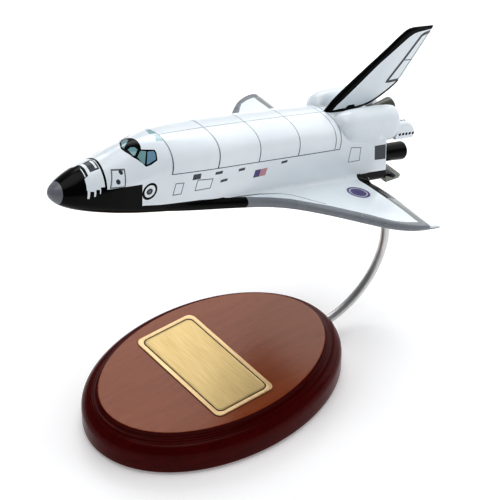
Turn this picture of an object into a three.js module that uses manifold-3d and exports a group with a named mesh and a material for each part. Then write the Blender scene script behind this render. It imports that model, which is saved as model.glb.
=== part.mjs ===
// A carved and lacquered desk model of a winged space orbiter, nose up over an oval wooden base,
// carried by one bent chrome rod. Millimetres, +X towards the nose, +Y to the model's left, +Z up.
// The origin is the centre of the base's underside.
import * as THREE from "three";
import * as BufferGeometryUtils from "three/addons/utils/BufferGeometryUtils.js";
import Module from "manifold-3d";

const wasm = await Module();
wasm.setup();

// Sizes of the stand
const GAP = 0.3;
const FELT_THICK = 1.5;
const FELT_INSET = 5;
const BASE_TOP_Z = 36;
const TOP_HALF_LENGTH = 111;
const TOP_HALF_WIDTH = 74.5;
const PLAQUE_LENGTH = 122;
const PLAQUE_WIDTH = 61.5;
const PLAQUE_THICK = 1;
const PLAQUE_CORNER = 4.5;
const PLAQUE_EDGE_STEP = 0.35;
const PLAQUE_X = 9.5;
const PLAQUE_BORDER_INSET = 4.2;
const PLAQUE_BORDER_WIDTH = 0.9;
const PLAQUE_BORDER_DEPTH = 0.25;
const ROD_RADIUS = 4;
const ROD_HOLE_RADIUS = 4.3;
const ROD_Z = 12;
const ROD_BEND_RADIUS = 73.5;
const ROD_BEND_X = -121;
const ROD_START_X = -96;
const ROD_TOP_ANGLE = 45;
const ROD_TOP_STRAIGHT = 92;
const ROD_BEND_STEPS = 24;
const BORE_LENGTH = 60;
const BORE_SIDES = 24;

// How the orbiter sits over the base: its own point (0, 0, 0) and its nose-up angle
const PITCH_DEG = 17.6;
const ORBITER_X = -43.4;
const ORBITER_Z = 249.6;

// Sizes of the orbiter, in its own frame: x forward, y left, z up
const REAR_FACE_X = -128.7;
const REAR_FACE_SLOPE = 0.344;
const HINGE_X = -104;
const TRAILING_X = -120;
const HALF_SPAN = 118;
const NOZZLE_WALL = 0.9;
const POD_REAR_X = -136.6;
const FLAP_REAR_X = -158.5;

function solidOf(geometry) {
  const plain = geometry.clone();
  plain.deleteAttribute("normal");
  plain.deleteAttribute("uv");
  const merged = BufferGeometryUtils.mergeVertices(plain, 1e-4);
  return new wasm.Manifold(new wasm.Mesh({
    numProp: 3,
    vertProperties: new Float32Array(merged.attributes.position.array),
    triVerts: new Uint32Array(merged.index.array),
  }));
}

function geometryOf(solid) {
  const mesh = solid.getMesh();
  const geometry = new THREE.BufferGeometry();
  geometry.setAttribute("position", new THREE.BufferAttribute(new Float32Array(mesh.vertProperties), 3));
  geometry.setIndex(new THREE.BufferAttribute(new Uint32Array(mesh.triVerts), 1));
  geometry.computeVertexNormals();
  return geometry;
}

// Turns a closed mesh right side out: its faces are swapped where its signed volume is negative.
function facingOut(geometry) {
  const p = geometry.attributes.position;
  const index = geometry.index.array;
  const corners = [new THREE.Vector3(), new THREE.Vector3(), new THREE.Vector3()];
  let volume = 0;
  for (let i = 0; i < index.length; i += 3) {
    corners.forEach((corner, k) => corner.fromBufferAttribute(p, index[i + k]));
    volume += corners[0].dot(corners[1].cross(corners[2]));
  }
  for (let i = 0; volume < 0 && i < index.length; i += 3) {
    const first = index[i];
    index[i] = index[i + 1];
    index[i + 1] = first;
  }
  geometry.computeVertexNormals();
  return geometry;
}

// A closed solid from a row of rings with the same number of points, with a flat fan on each end.
function ringSolid(rings) {
  const count = rings[0].length;
  const points = [];
  const faces = [];
  for (const ring of rings) {
    for (const p of ring) points.push(...p);
  }
  for (let r = 0; r + 1 < rings.length; r++) {
    for (let i = 0; i < count; i++) {
      const a = r * count + i;
      const b = r * count + ((i + 1) % count);
      faces.push(a, b, b + count, a, b + count, a + count);
    }
  }
  for (const [end, flip] of [[0, true], [rings.length - 1, false]]) {
    const ring = rings[end];
    const centre = points.length / 3;
    const middle = [0, 1, 2].map((axis) => ring.reduce((sum, p) => sum + p[axis], 0) / count);
    points.push(...middle);
    for (let i = 0; i < count; i++) {
      const a = end * count + i;
      const b = end * count + ((i + 1) % count);
      const edge = flip ? [b, a] : [a, b];
      faces.push(...edge, centre);
    }
  }
  const geometry = new THREE.BufferGeometry();
  geometry.setAttribute("position", new THREE.Float32BufferAttribute(points, 3));
  geometry.setIndex(faces);
  return facingOut(geometry);
}

function cylinderAlong(radius, length, sides) {
  const geometry = new THREE.CylinderGeometry(radius, radius, length, sides);
  geometry.rotateZ(-Math.PI / 2);
  return geometry;
}

// The base

const BASE_POINTS = 72;
const TOP_EDGE_OUT = -0.6;
// The routed edge, outward from the top plate's edge and down from the base's top
const BASE_EDGE = [
  { out: 0, down: 0.6 },
  { out: 0.5, down: 3.6 },
  { out: 1.2, down: 4.6 },
  { out: 4.6, down: 4.9 },
  { out: 5.3, down: 6.2 },
  { out: 7.4, down: 6.7 },
  { out: 10.1, down: 8.2 },
  { out: 12.4, down: 10.6 },
  { out: 14.0, down: 13.6 },
  { out: 14.8, down: 17.4 },
  { out: 14.8, down: 31.4 },
  { out: 14.0, down: 33.0 },
  { out: 12.6, down: 34.2 },
];

function ovalRing(out, z) {
  const ring = [];
  for (let i = 0; i < BASE_POINTS; i++) {
    const t = (2 * Math.PI * i) / BASE_POINTS;
    const x = TOP_HALF_LENGTH * Math.cos(t);
    const y = TOP_HALF_WIDTH * Math.sin(t);
    const nx = Math.cos(t) / TOP_HALF_LENGTH;
    const ny = Math.sin(t) / TOP_HALF_WIDTH;
    const length = Math.hypot(nx, ny);
    ring.push([x + (out * nx) / length, y + (out * ny) / length, z]);
  }
  return ring;
}

function baseGeometry() {
  const rings = [];
  rings.push(ovalRing(TOP_EDGE_OUT, BASE_TOP_Z));
  for (const row of BASE_EDGE) rings.push(ovalRing(row.out, BASE_TOP_Z - row.down));
  rings.reverse();
  const block = solidOf(ringSolid(rings));
  const hole = cylinderAlong(ROD_HOLE_RADIUS, BORE_LENGTH, BORE_SIDES);
  hole.translate(ROD_START_X + GAP - BORE_LENGTH / 2, 0, ROD_Z);
  return geometryOf(block.subtract(solidOf(hole)));
}

function feltGeometry() {
  const out = BASE_EDGE[BASE_EDGE.length - 1].out - FELT_INSET;
  return ringSolid([ovalRing(out, 0), ovalRing(out, FELT_THICK)]);
}

function roundedPlate(length, width, corner) {
  const shape = new THREE.Shape();
  const x = width / 2;
  const y = length / 2;
  shape.moveTo(x, -y + corner);
  shape.lineTo(x, y - corner);
  shape.absarc(x - corner, y - corner, corner, 0, Math.PI / 2, false);
  shape.lineTo(-x + corner, y);
  shape.absarc(-x + corner, y - corner, corner, Math.PI / 2, Math.PI, false);
  shape.lineTo(-x, -y + corner);
  shape.absarc(-x + corner, -y + corner, corner, Math.PI, 1.5 * Math.PI, false);
  shape.lineTo(x - corner, -y);
  shape.absarc(x - corner, -y + corner, corner, 1.5 * Math.PI, 2 * Math.PI, false);
  return shape;
}

function plaqueGeometry() {
  const step = PLAQUE_EDGE_STEP;
  const flat = { bevelEnabled: false, curveSegments: 4 };
  const plate = new THREE.ExtrudeGeometry(
    roundedPlate(PLAQUE_LENGTH - 2 * step, PLAQUE_WIDTH - 2 * step, PLAQUE_CORNER - step),
    { ...flat, depth: PLAQUE_THICK - step },
  );
  const lower = new THREE.ExtrudeGeometry(
    roundedPlate(PLAQUE_LENGTH, PLAQUE_WIDTH, PLAQUE_CORNER),
    { ...flat, depth: PLAQUE_THICK - 2 * step },
  );
  const inset = PLAQUE_BORDER_INSET;
  const outer = roundedPlate(PLAQUE_LENGTH - 2 * inset, PLAQUE_WIDTH - 2 * inset, PLAQUE_CORNER);
  const inner = inset + PLAQUE_BORDER_WIDTH;
  outer.holes.push(roundedPlate(
    PLAQUE_LENGTH - 2 * inner, PLAQUE_WIDTH - 2 * inner, PLAQUE_CORNER - PLAQUE_BORDER_WIDTH,
  ));
  const groove = new THREE.ExtrudeGeometry(outer, { ...flat, depth: PLAQUE_THICK });
  const topOfPlate = PLAQUE_THICK - step;
  groove.translate(0, 0, topOfPlate - PLAQUE_BORDER_DEPTH);
  const solid = solidOf(plate).add(solidOf(lower)).subtract(solidOf(groove));
  return geometryOf(solid);
}

// The rod

function rodCurve() {
  const bottom = new THREE.Vector3(ROD_BEND_X, 0, ROD_Z);
  const centreZ = ROD_Z + ROD_BEND_RADIUS;
  const sweep = ((90 + ROD_TOP_ANGLE) * Math.PI) / 180;
  const points = [bottom];
  for (let i = 1; i <= ROD_BEND_STEPS; i++) {
    const angle = -Math.PI / 2 - (sweep * i) / ROD_BEND_STEPS;
    const x = ROD_BEND_X + ROD_BEND_RADIUS * Math.cos(angle);
    const z = centreZ + ROD_BEND_RADIUS * Math.sin(angle);
    points.push(new THREE.Vector3(x, 0, z));
  }
  const top = points[ROD_BEND_STEPS];
  const lean = (ROD_TOP_ANGLE * Math.PI) / 180;
  const direction = new THREE.Vector3(Math.sin(lean), 0, Math.cos(lean));
  const end = top.clone().addScaledVector(direction, ROD_TOP_STRAIGHT);
  const path = new THREE.CurvePath();
  path.add(new THREE.LineCurve3(new THREE.Vector3(ROD_START_X, 0, ROD_Z), bottom));
  for (let i = 0; i < ROD_BEND_STEPS; i++) {
    path.add(new THREE.LineCurve3(points[i], points[i + 1]));
  }
  path.add(new THREE.LineCurve3(top, end));
  return { path, end, direction };
}

function rodSection() {
  const shape = new THREE.Shape();
  shape.absarc(0, 0, ROD_RADIUS, 0, 2 * Math.PI, false);
  return shape;
}

function rodGeometry() {
  return new THREE.ExtrudeGeometry(rodSection(), {
    steps: 40, curveSegments: 7, bevelEnabled: false, extrudePath: rodCurve().path,
  });
}

// The fuselage

// Sections from the nose back: half width, height where the flat side meets the dome, top, bottom,
// lower corner radius, and how full the dome is (2 is an ellipse, less is slimmer, more is boxier)
const FUSELAGE = [
  { x: 202.6, half: 0.7, side: -15.0, top: -14.5, bottom: -15.7, corner: 0.6, full: 2 },
  { x: 202.2, half: 2.0, side: -15.0, top: -13.4, bottom: -16.9, corner: 1.8, full: 1.9 },
  { x: 201.0, half: 4.0, side: -14.9, top: -11.7, bottom: -19.0, corner: 3.6, full: 1.85 },
  { x: 198.8, half: 6.4, side: -14.7, top: -9.4, bottom: -21.4, corner: 5.6, full: 1.8 },
  { x: 195.0, half: 9.2, side: -14.2, top: -6.4, bottom: -24.0, corner: 7.8, full: 1.75 },
  { x: 189.4, half: 12.1, side: -13.6, top: -2.7, bottom: -26.3, corner: 9.4, full: 1.7 },
  { x: 182.2, half: 15.1, side: -13.0, top: 1.4, bottom: -28.0, corner: 10.2, full: 1.7 },
  { x: 172.2, half: 18.1, side: -12.0, top: 5.5, bottom: -29.4, corner: 10.2, full: 1.7 },
  { x: 162.0, half: 20.6, side: -10.0, top: 8.9, bottom: -30.4, corner: 10.0, full: 1.66 },
  { x: 152.0, half: 22.3, side: -7.0, top: 12.5, bottom: -31.2, corner: 9.4, full: 1.6 },
  { x: 144.0, half: 23.4, side: -4.3, top: 16.4, bottom: -31.7, corner: 8.6, full: 1.55 },
  { x: 137.0, half: 24.0, side: -2.0, top: 19.2, bottom: -32.1, corner: 8.0, full: 1.53 },
  { x: 128.0, half: 24.9, side: 0.6, top: 21.5, bottom: -32.5, corner: 7.2, full: 1.6 },
  { x: 116.0, half: 26.0, side: 2.4, top: 23.3, bottom: -32.9, corner: 6.6, full: 1.85 },
  { x: 104.4, half: 27.0, side: 3.2, top: 24.4, bottom: -33.3, corner: 6.2, full: 2.15 },
  { x: 84.0, half: 27.8, side: 3.2, top: 25.0, bottom: -34.4, corner: 6.0, full: 2.5 },
  { x: 56.0, half: 28.2, side: 3.2, top: 25.3, bottom: -35.5, corner: 6.0, full: 2.7 },
  { x: 16.0, half: 28.2, side: 3.2, top: 25.2, bottom: -36.0, corner: 6.0, full: 2.7 },
  { x: -30.0, half: 28.2, side: 3.2, top: 24.9, bottom: -36.0, corner: 6.0, full: 2.7 },
  { x: -69.5, half: 28.0, side: 3.2, top: 24.2, bottom: -36.0, corner: 6.0, full: 2.5 },
  { x: -104.0, half: 28.0, side: 3.2, top: 23.8, bottom: -36.0, corner: 5.0, full: 2.3 },
  { x: REAR_FACE_X, half: 27.6, side: 3.2, top: 23.4, bottom: -35.8, corner: 4.0, full: 2.3 },
];
const DOME_STEPS = 9;
const CORNER_STEPS = 4;

// One section's left half, from the top centre to the bottom centre; grow moves it outward.
function halfSection(row, grow) {
  const half = row.half + grow;
  const top = row.top + grow;
  const bottom = row.bottom - grow;
  const corner = row.corner + grow;
  const points = [];
  for (let i = 0; i <= DOME_STEPS; i++) {
    const angle = Math.PI / 2 - (Math.PI / 2) * (i / DOME_STEPS);
    const across = Math.cos(angle) ** (2 / row.full);
    const up = Math.sin(angle) ** (2 / row.full);
    points.push([half * across, row.side + (top - row.side) * up]);
  }
  for (let i = 0; i <= CORNER_STEPS; i++) {
    const angle = (Math.PI / 2) * (i / CORNER_STEPS);
    points.push([half - corner + corner * Math.cos(angle), bottom + corner - corner * Math.sin(angle)]);
  }
  points.push([(half - corner) / 2, bottom]);
  points.push([0, bottom]);
  return points;
}

function fullRing(row, grow, slope) {
  const half = halfSection(row, grow);
  const right = half.slice(1, -1).reverse().map(([y, z]) => [-y, z]);
  return [...half, ...right].map(([y, z]) => [row.x + slope * z, y, z]);
}

function fuselageRings(grow) {
  const last = FUSELAGE[FUSELAGE.length - 1];
  const rings = FUSELAGE.map((row) => fullRing(row, grow, row === last ? REAR_FACE_SLOPE : 0));
  if (grow > 0) rings.push(fullRing({ ...last, x: last.x - grow }, grow, REAR_FACE_SLOPE));
  return rings;
}

// The wings

// The left wing's edge in plan, from the front of the glove to the tip, with the point on the root or
// the trailing edge that each place is joined to
const ROOT_Y = 20;
const WING = [
  { x: 112, y: 26.2, inX: 111, inY: ROOT_Y },
  { x: 88, y: 28.6, inX: 87, inY: ROOT_Y },
  { x: 65, y: 30.5, inX: 63, inY: ROOT_Y },
  { x: 48, y: 32.1, inX: 45, inY: ROOT_Y },
  { x: 34, y: 33.9, inX: 29, inY: ROOT_Y },
  { x: 22, y: 36.0, inX: 14, inY: ROOT_Y },
  { x: 12, y: 38.4, inX: 1, inY: ROOT_Y },
  { x: 4, y: 41.2, inX: -12, inY: ROOT_Y },
  { x: -4, y: 44.8, inX: -28, inY: ROOT_Y },
  { x: -12, y: 49.4, inX: -48, inY: ROOT_Y },
  { x: -20, y: 55.4, inX: -72, inY: ROOT_Y },
  { x: -28, y: 62.4, inX: -98, inY: ROOT_Y },
  { x: -40, y: 73.8, inX: TRAILING_X, inY: 32 },
  { x: -53, y: 86.4, inX: TRAILING_X, inY: 56 },
  { x: -64, y: 96.8, inX: TRAILING_X, inY: 76 },
  { x: -71, y: 103.0, inX: TRAILING_X, inY: 87 },
  { x: -78, y: 108.3, inX: TRAILING_X, inY: 96 },
  { x: -86, y: 112.9, inX: TRAILING_X, inY: 104 },
  { x: -95, y: 116.4, inX: TRAILING_X, inY: 110.5 },
  { x: HINGE_X, y: HALF_SPAN, inX: TRAILING_X, inY: 113.6 },
  { x: -112, y: HALF_SPAN, inX: TRAILING_X, inY: 115.4 },
  { x: -119, y: 117.8, inX: TRAILING_X, inY: 117 },
];
const EDGE_STEPS = 4;
const INNER_STEPS = 4;
// The most that the rounded edge may take of the way to the joined place
const EDGE_SHARE = 0.45;
const WING_LOWEST_Z = -36.2;
const GLOVE_RISE_START_X = 15;
const GLOVE_RISE_RATE = 0.0005;
const PANEL_RISE_START_Y = 33;
const UPPER_RISE = 8.1;
// Rise of the lower surface above its lowest level at each distance from the centre
const LOWER_RISE = [
  { y: 33, rise: 0 },
  { y: 50, rise: 2.0 },
  { y: 62, rise: 3.2 },
  { y: 75, rise: 4.2 },
  { y: 90, rise: 4.8 },
  { y: 100, rise: 5.2 },
  { y: 108, rise: 5.8 },
  { y: 113, rise: 6.5 },
  { y: HALF_SPAN, rise: 7.9 },
];
// The panel's thickness at its root ahead of and at the hinge, and its loss for each millimetre outward
const THIN_START_Y = 30;
const FRONT_THICK = { root: 9, loss: 0.055 };
const HINGE_THICK = { root: 8, loss: 0.042 };
const TRAILING_THICK = 2.4;
const THIN_START_X = -60;

function clampedShare(value) {
  return Math.min(1, Math.max(0, value));
}

function gloveRise(x) {
  return GLOVE_RISE_RATE * Math.max(0, x - GLOVE_RISE_START_X) ** 2;
}

// Height of the wing's lower surface: the glove rises towards the nose, the panel towards its tip
function wingLower(x, y) {
  let rise = LOWER_RISE[0].rise;
  for (let i = 0; i + 1 < LOWER_RISE.length; i++) {
    const from = LOWER_RISE[i];
    const to = LOWER_RISE[i + 1];
    rise += (to.rise - from.rise) * clampedShare((y - from.y) / (to.y - from.y));
  }
  return WING_LOWEST_Z + gloveRise(x) + rise;
}

// Height of its upper surface, with the elevon falling from the hinge to the trailing edge
function wingUpper(x, y) {
  const out = Math.max(0, y - THIN_START_Y);
  const front = FRONT_THICK.root - FRONT_THICK.loss * out;
  const atHinge = HINGE_THICK.root - HINGE_THICK.loss * out;
  const fall = clampedShare((THIN_START_X - x) / (THIN_START_X - HINGE_X));
  const outward = clampedShare((y - PANEL_RISE_START_Y) / (HALF_SPAN - PANEL_RISE_START_Y));
  const panelRise = UPPER_RISE * (1 - (1 - outward) ** 1.5);
  const ahead = WING_LOWEST_Z + gloveRise(x) + panelRise + front + (atHinge - front) * fall;
  const share = clampedShare((HINGE_X - x) / (HINGE_X - TRAILING_X));
  return ahead + (wingLower(x, y) + TRAILING_THICK - ahead) * share;
}

function wingGeometry(mirror) {
  const rows = WING.length;
  const lines = [];
  for (let s = 0; s < rows; s++) {
    const here = WING[s];
    const before = WING[Math.max(0, s - 1)];
    const after = WING[Math.min(rows - 1, s + 1)];
    const along = new THREE.Vector2(after.x - before.x, after.y - before.y).normalize();
    const across = new THREE.Vector2(here.inX - here.x, here.inY - here.y);
    const inward = new THREE.Vector2(-along.y, along.x);
    inward.multiplyScalar(Math.sign(inward.dot(across)));
    const thick = wingUpper(here.x, here.y) - wingLower(here.x, here.y);
    const radius = Math.min(thick / 2, across.length() * EDGE_SHARE);
    const line = [];
    for (let k = 0; k <= EDGE_STEPS; k++) {
      const angle = (Math.PI / 2) * (k / EDGE_STEPS);
      const depth = radius * (1 - Math.cos(angle));
      line.push({ x: here.x + inward.x * depth, y: here.y + inward.y * depth, share: Math.sin(angle) });
    }
    const start = line[EDGE_STEPS];
    for (let k = 1; k <= INNER_STEPS; k++) {
      const t = k / INNER_STEPS;
      const x = start.x + (here.inX - start.x) * t;
      const y = start.y + (here.inY - start.y) * t;
      line.push({ x, y, share: 1 });
    }
    lines.push(line);
  }
  const points = [];
  const columns = EDGE_STEPS + INNER_STEPS + 1;
  for (const side of [1, -1]) {
    for (const line of lines) {
      for (const p of line) {
        const upper = wingUpper(p.x, p.y);
        const lower = wingLower(p.x, p.y);
        const height = (upper + lower) / 2 + (side * p.share * (upper - lower)) / 2;
        points.push(p.x, mirror * p.y, height);
      }
    }
  }
  const faces = [];
  const push = (a, b, c) => faces.push(a, b, c);
  const lowerStart = rows * columns;
  for (let s = 0; s + 1 < rows; s++) {
    for (let k = 0; k + 1 < columns; k++) {
      const a = s * columns + k;
      const b = a + 1;
      const c = a + columns;
      const d = c + 1;
      push(a, c, b);
      push(b, c, d);
      push(a + lowerStart, b + lowerStart, c + lowerStart);
      push(b + lowerStart, d + lowerStart, c + lowerStart);
    }
    const a = s * columns + columns - 1;
    const c = a + columns;
    push(a, c, a + lowerStart);
    push(c, c + lowerStart, a + lowerStart);
  }
  const lastRow = (rows - 1) * columns;
  for (let k = 0; k + 1 < columns; k++) {
    push(k, k + 1, k + lowerStart);
    push(k + 1, k + 1 + lowerStart, k + lowerStart);
    const e = lastRow + k;
    push(e, e + lowerStart, e + 1);
    push(e + 1, e + lowerStart, e + 1 + lowerStart);
  }
  const geometry = new THREE.BufferGeometry();
  geometry.setAttribute("position", new THREE.Float32BufferAttribute(points, 3));
  geometry.setIndex(faces);
  return facingOut(geometry);
}

// The fin

// The fin's side view: x and z of the front and rear edge at each height, and its thickness
const FIN = [
  { z: 20.0, front: -69.0, rear: -110, thick: 6.4 },
  { z: 23.6, front: -71.6, rear: -113, thick: 6.4 },
  { z: 26.0, front: -73.0, rear: -121, thick: 6.3 },
  { z: 29.0, front: -75.0, rear: -127.8, thick: 6.2 },
  { z: 34.0, front: -78.4, rear: -136.4, thick: 6.0 },
  { z: 40.0, front: -84.0, rear: -144.8, thick: 5.8 },
  { z: 45.6, front: -89.8, rear: -150.4, thick: 5.6 },
  { z: 62.0, front: -107.8, rear: -158.4, thick: 5.0 },
  { z: 78.0, front: -125.6, rear: -166.4, thick: 4.4 },
  { z: 90.0, front: -138.4, rear: -171.6, thick: 3.9 },
  { z: 94.2, front: -144.4, rear: -173.2, thick: 3.4 },
  { z: 95.8, front: -151.5, rear: -173.4, thick: 2.2 },
];
// The section of the fin from front to rear: share of the chord and share of the thickness
const FIN_SECTION = [
  { along: 0, wide: 0 },
  { along: 0.008, wide: 0.3 },
  { along: 0.03, wide: 0.58 },
  { along: 0.08, wide: 0.82 },
  { along: 0.2, wide: 1 },
  { along: 0.6, wide: 1 },
  { along: 0.97, wide: 0.36 },
  { along: 1, wide: 0.24 },
];

function finGeometry() {
  const rings = FIN.map((row) => {
    const chord = row.front - row.rear;
    const left = FIN_SECTION.map(({ along, wide }) => {
      return [row.front - chord * along, (wide * row.thick) / 2, row.z];
    });
    const right = left.slice(1).reverse().map(([x, y, z]) => [x, -y, z]);
    return [...left, ...right];
  });
  return ringSolid(rings);
}

// The rear pods, housings, nozzles and flap

// The left pod from front to rear: its centre and its two half sizes
const POD = [
  { x: -73.0, y: 16.5, z: 22.4, wide: 2.4, high: 2.4 },
  { x: -75.2, y: 17.0, z: 22.6, wide: 5.8, high: 5.0 },
  { x: -79.0, y: 17.6, z: 22.2, wide: 8.4, high: 7.9 },
  { x: -84.4, y: 18.2, z: 20.9, wide: 10.0, high: 10.9 },
  { x: -92.0, y: 18.9, z: 18.7, wide: 11.2, high: 13.9 },
  { x: -102.0, y: 19.2, z: 17.0, wide: 11.6, high: 16.0 },
  { x: -120.0, y: 19.2, z: 16.2, wide: 11.6, high: 16.8 },
  { x: -131.0, y: 19.2, z: 15.6, wide: 11.4, high: 16.7 },
  { x: POD_REAR_X + 1.8, y: 19.2, z: 15.4, wide: 11.0, high: 16.2 },
  { x: POD_REAR_X, y: 19.2, z: 15.4, wide: 9.8, high: 14.9 },
];
const POD_POINTS = 24;

function podGeometry(mirror) {
  const rings = POD.map((row) => {
    const ring = [];
    for (let i = 0; i < POD_POINTS; i++) {
      const t = (2 * Math.PI * i) / POD_POINTS;
      ring.push([row.x, mirror * (row.y + row.wide * Math.cos(t)), row.z + row.high * Math.sin(t)]);
    }
    return ring;
  });
  return ringSolid(rings);
}

// A turned nozzle: a flared outside, a rounded rim and a hollow rear end, its axis running rearward.
function nozzleGeometry({ front, rear, length, hollow, flare }) {
  const steps = 5;
  const bell = (along) => front + (rear - front) * (along / length) ** flare;
  const points = [new THREE.Vector2(0, 0)];
  for (let i = 0; i <= steps; i++) {
    const along = ((length - NOZZLE_WALL / 2) * i) / steps;
    points.push(new THREE.Vector2(bell(along), along));
  }
  points.push(new THREE.Vector2(bell(length) - NOZZLE_WALL / 2, length));
  for (let i = 0; i <= steps; i++) {
    const along = length - NOZZLE_WALL / 2 - ((hollow - NOZZLE_WALL) * i) / steps;
    points.push(new THREE.Vector2(bell(along) - NOZZLE_WALL, along));
  }
  const floor = length - hollow;
  points.push(new THREE.Vector2((bell(floor) - NOZZLE_WALL) * 0.8, floor));
  points.push(new THREE.Vector2(0, floor));
  const geometry = new THREE.LatheGeometry(points, 18);
  geometry.rotateZ(Math.PI / 2);
  return geometry;
}

// The housing behind each pod: its inner and outer side, its bottom and the rounding of its top edges
const HOUSING = { inner: 18.6, outer: 28.8, bottom: 4.2, round: 3.5 };
// Its top falls away towards the rear
const HOUSING_TOP = [
  { x: POD_REAR_X - GAP, top: 18.5 },
  { x: -146.5, top: 18.5 },
  { x: -149.6, top: 17.8 },
  { x: -152.6, top: 16.0 },
  { x: -154.9, top: 13.7 },
  { x: -156.6, top: 11.2 },
];
const HOUSING_CORNER_STEPS = 4;

function housingGeometry(mirror) {
  const { inner, outer, bottom, round } = HOUSING;
  const rings = HOUSING_TOP.map(({ x, top }) => {
    const ring = [[x, mirror * inner, bottom], [x, mirror * outer, bottom]];
    for (const [centre, start] of [[outer - round, 0], [inner + round, Math.PI / 2]]) {
      for (let i = 0; i <= HOUSING_CORNER_STEPS; i++) {
        const angle = start + ((Math.PI / 2) * i) / HOUSING_CORNER_STEPS;
        const y = centre + round * Math.cos(angle);
        ring.push([x, mirror * y, top - round + round * Math.sin(angle)]);
      }
    }
    return ring;
  });
  return ringSolid(rings);
}

const FLAP_HALF_WIDTH = 28.5;
const FLAP_CORNER = 3;
// The flap's rear corners: distance in from its side, and how far each place is ahead of its rear edge
const FLAP_ENDS = [
  { inset: 0, ahead: FLAP_CORNER },
  { inset: 0.9, ahead: 0.9 },
  { inset: FLAP_CORNER, ahead: 0 },
];
const FLAP_TOP_Z = -31;
const FLAP_BOTTOM_Z = -38.2;
// The flap's rear edge: distance behind its rear line and height
const FLAP_REAR_EDGE = [
  { behind: 0, z: -33.0 },
  { behind: 0.3, z: -34.4 },
  { behind: 0, z: -35.8 },
];

function flapGeometry() {
  const front = (z) => REAR_FACE_X + REAR_FACE_SLOPE * z - GAP;
  const ringAt = (y, rear) => [
    [front(FLAP_TOP_Z), y, FLAP_TOP_Z],
    ...FLAP_REAR_EDGE.map(({ behind, z }) => [rear - behind, y, z]),
    [front(FLAP_BOTTOM_Z), y, FLAP_BOTTOM_Z],
  ];
  const right = FLAP_ENDS.map((row) => ringAt(row.inset - FLAP_HALF_WIDTH, FLAP_REAR_X + row.ahead));
  const left = FLAP_ENDS.map((row) => ringAt(FLAP_HALF_WIDTH - row.inset, FLAP_REAR_X + row.ahead));
  return ringSolid([...right, ...left.reverse()]);
}

// The pieces and where they go

const PAINT_WHITE = 0xe9eef0;
const PAINT_BLACK = 0x0b0c0d;
const PAINT_GREY = 0x7b8088;
const WOOD_RED = 0x5a1f12;
const BRASS = 0xdcbf7a;
const CHROME = 0xd8dadb;
const FELT = 0x23382a;

const model = new THREE.Group();
const orbiter = new THREE.Group();
orbiter.position.set(ORBITER_X, 0, ORBITER_Z);
orbiter.rotation.y = (-PITCH_DEG * Math.PI) / 180;
model.add(orbiter);

function piece(parent, name, geometry, color, roughness, metalness) {
  const mesh = new THREE.Mesh(geometry, new THREE.MeshStandardMaterial({ color, roughness, metalness }));
  mesh.name = name;
  parent.add(mesh);
  return mesh;
}

piece(model, "base", baseGeometry(), WOOD_RED, 0.25, 0);
piece(model, "base_felt", feltGeometry(), FELT, 0.95, 0);
const plaque = piece(model, "plaque", plaqueGeometry(), BRASS, 0.3, 1);
plaque.position.set(PLAQUE_X, 0, BASE_TOP_Z + GAP);
piece(model, "stand_rod", rodGeometry(), CHROME, 0.08, 1);

// The hole in the belly, in the orbiter's own frame
orbiter.updateMatrixWorld(true);
const toOrbiter = orbiter.matrixWorld.clone().invert();
const { end: rodEnd, direction: rodDirection } = rodCurve();
const boreCentre = rodEnd.clone().addScaledVector(rodDirection, GAP - BORE_LENGTH / 2);
const bellyHole = cylinderAlong(ROD_HOLE_RADIUS, BORE_LENGTH, BORE_SIDES);
bellyHole.rotateY(-Math.asin(rodDirection.z));
bellyHole.translate(boreCentre.x, boreCentre.y, boreCentre.z);
bellyHole.applyMatrix4(toOrbiter);
const fuselageSolid = solidOf(ringSolid(fuselageRings(0))).subtract(solidOf(bellyHole));
piece(orbiter, "fuselage", geometryOf(fuselageSolid), PAINT_WHITE, 0.2, 0);

const grownFuselage = solidOf(ringSolid(fuselageRings(GAP)));
const fin = solidOf(finGeometry()).subtract(grownFuselage);
piece(orbiter, "fin", geometryOf(fin), PAINT_WHITE, 0.2, 0);

for (const [side, mirror] of [["left", 1], ["right", -1]]) {
  const wing = solidOf(wingGeometry(mirror)).subtract(grownFuselage);
  piece(orbiter, `wing_${side}`, geometryOf(wing), PAINT_WHITE, 0.2, 0);
  const pod = solidOf(podGeometry(mirror)).subtract(grownFuselage);
  piece(orbiter, `engine_pod_${side}`, geometryOf(pod), PAINT_WHITE, 0.2, 0);
  piece(orbiter, `thruster_housing_${side}`, housingGeometry(mirror), PAINT_WHITE, 0.25, 0);
}

// Each nozzle's front centre lies inside the body or pod and is cut back to its surface
const UPPER_BELL = { front: 4.6, rear: 8.2, length: 32, hollow: 11, flare: 1.5 };
const LOWER_BELL = { front: 7, rear: 8, length: 37.5, hollow: 12, flare: 0.8 };
const SMALL_BELL = { front: 2.2, rear: 3.2, length: 5, hollow: 4.2, flare: 0.7 };
const NOZZLES = [
  { name: "main_nozzle_upper", bell: UPPER_BELL, x: -118, y: 0, z: 16, tilt: 8 },
  { name: "main_nozzle_left", bell: LOWER_BELL, x: -128, y: 13.5, z: -17, tilt: -1 },
  { name: "main_nozzle_right", bell: LOWER_BELL, x: -128, y: -13.5, z: -17, tilt: -1 },
];
const SMALL_NOZZLES = [
  { name: "small_nozzle_left", y: 14.6, z: 13 },
  { name: "small_nozzle_right", y: -14.6, z: 13 },
];
for (const row of NOZZLES) {
  const geometry = nozzleGeometry(row.bell);
  geometry.rotateY((row.tilt * Math.PI) / 180);
  geometry.translate(row.x, row.y, row.z);
  const cut = solidOf(geometry).subtract(grownFuselage);
  piece(orbiter, row.name, geometryOf(cut), PAINT_BLACK, 0.35, 0);
}
for (const row of SMALL_NOZZLES) {
  const mesh = piece(orbiter, row.name, nozzleGeometry(SMALL_BELL), PAINT_BLACK, 0.35, 0);
  mesh.position.set(POD_REAR_X - GAP, row.y, row.z);
}
piece(orbiter, "body_flap", flapGeometry(), PAINT_GREY, 0.3, 0);

export default model;
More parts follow.
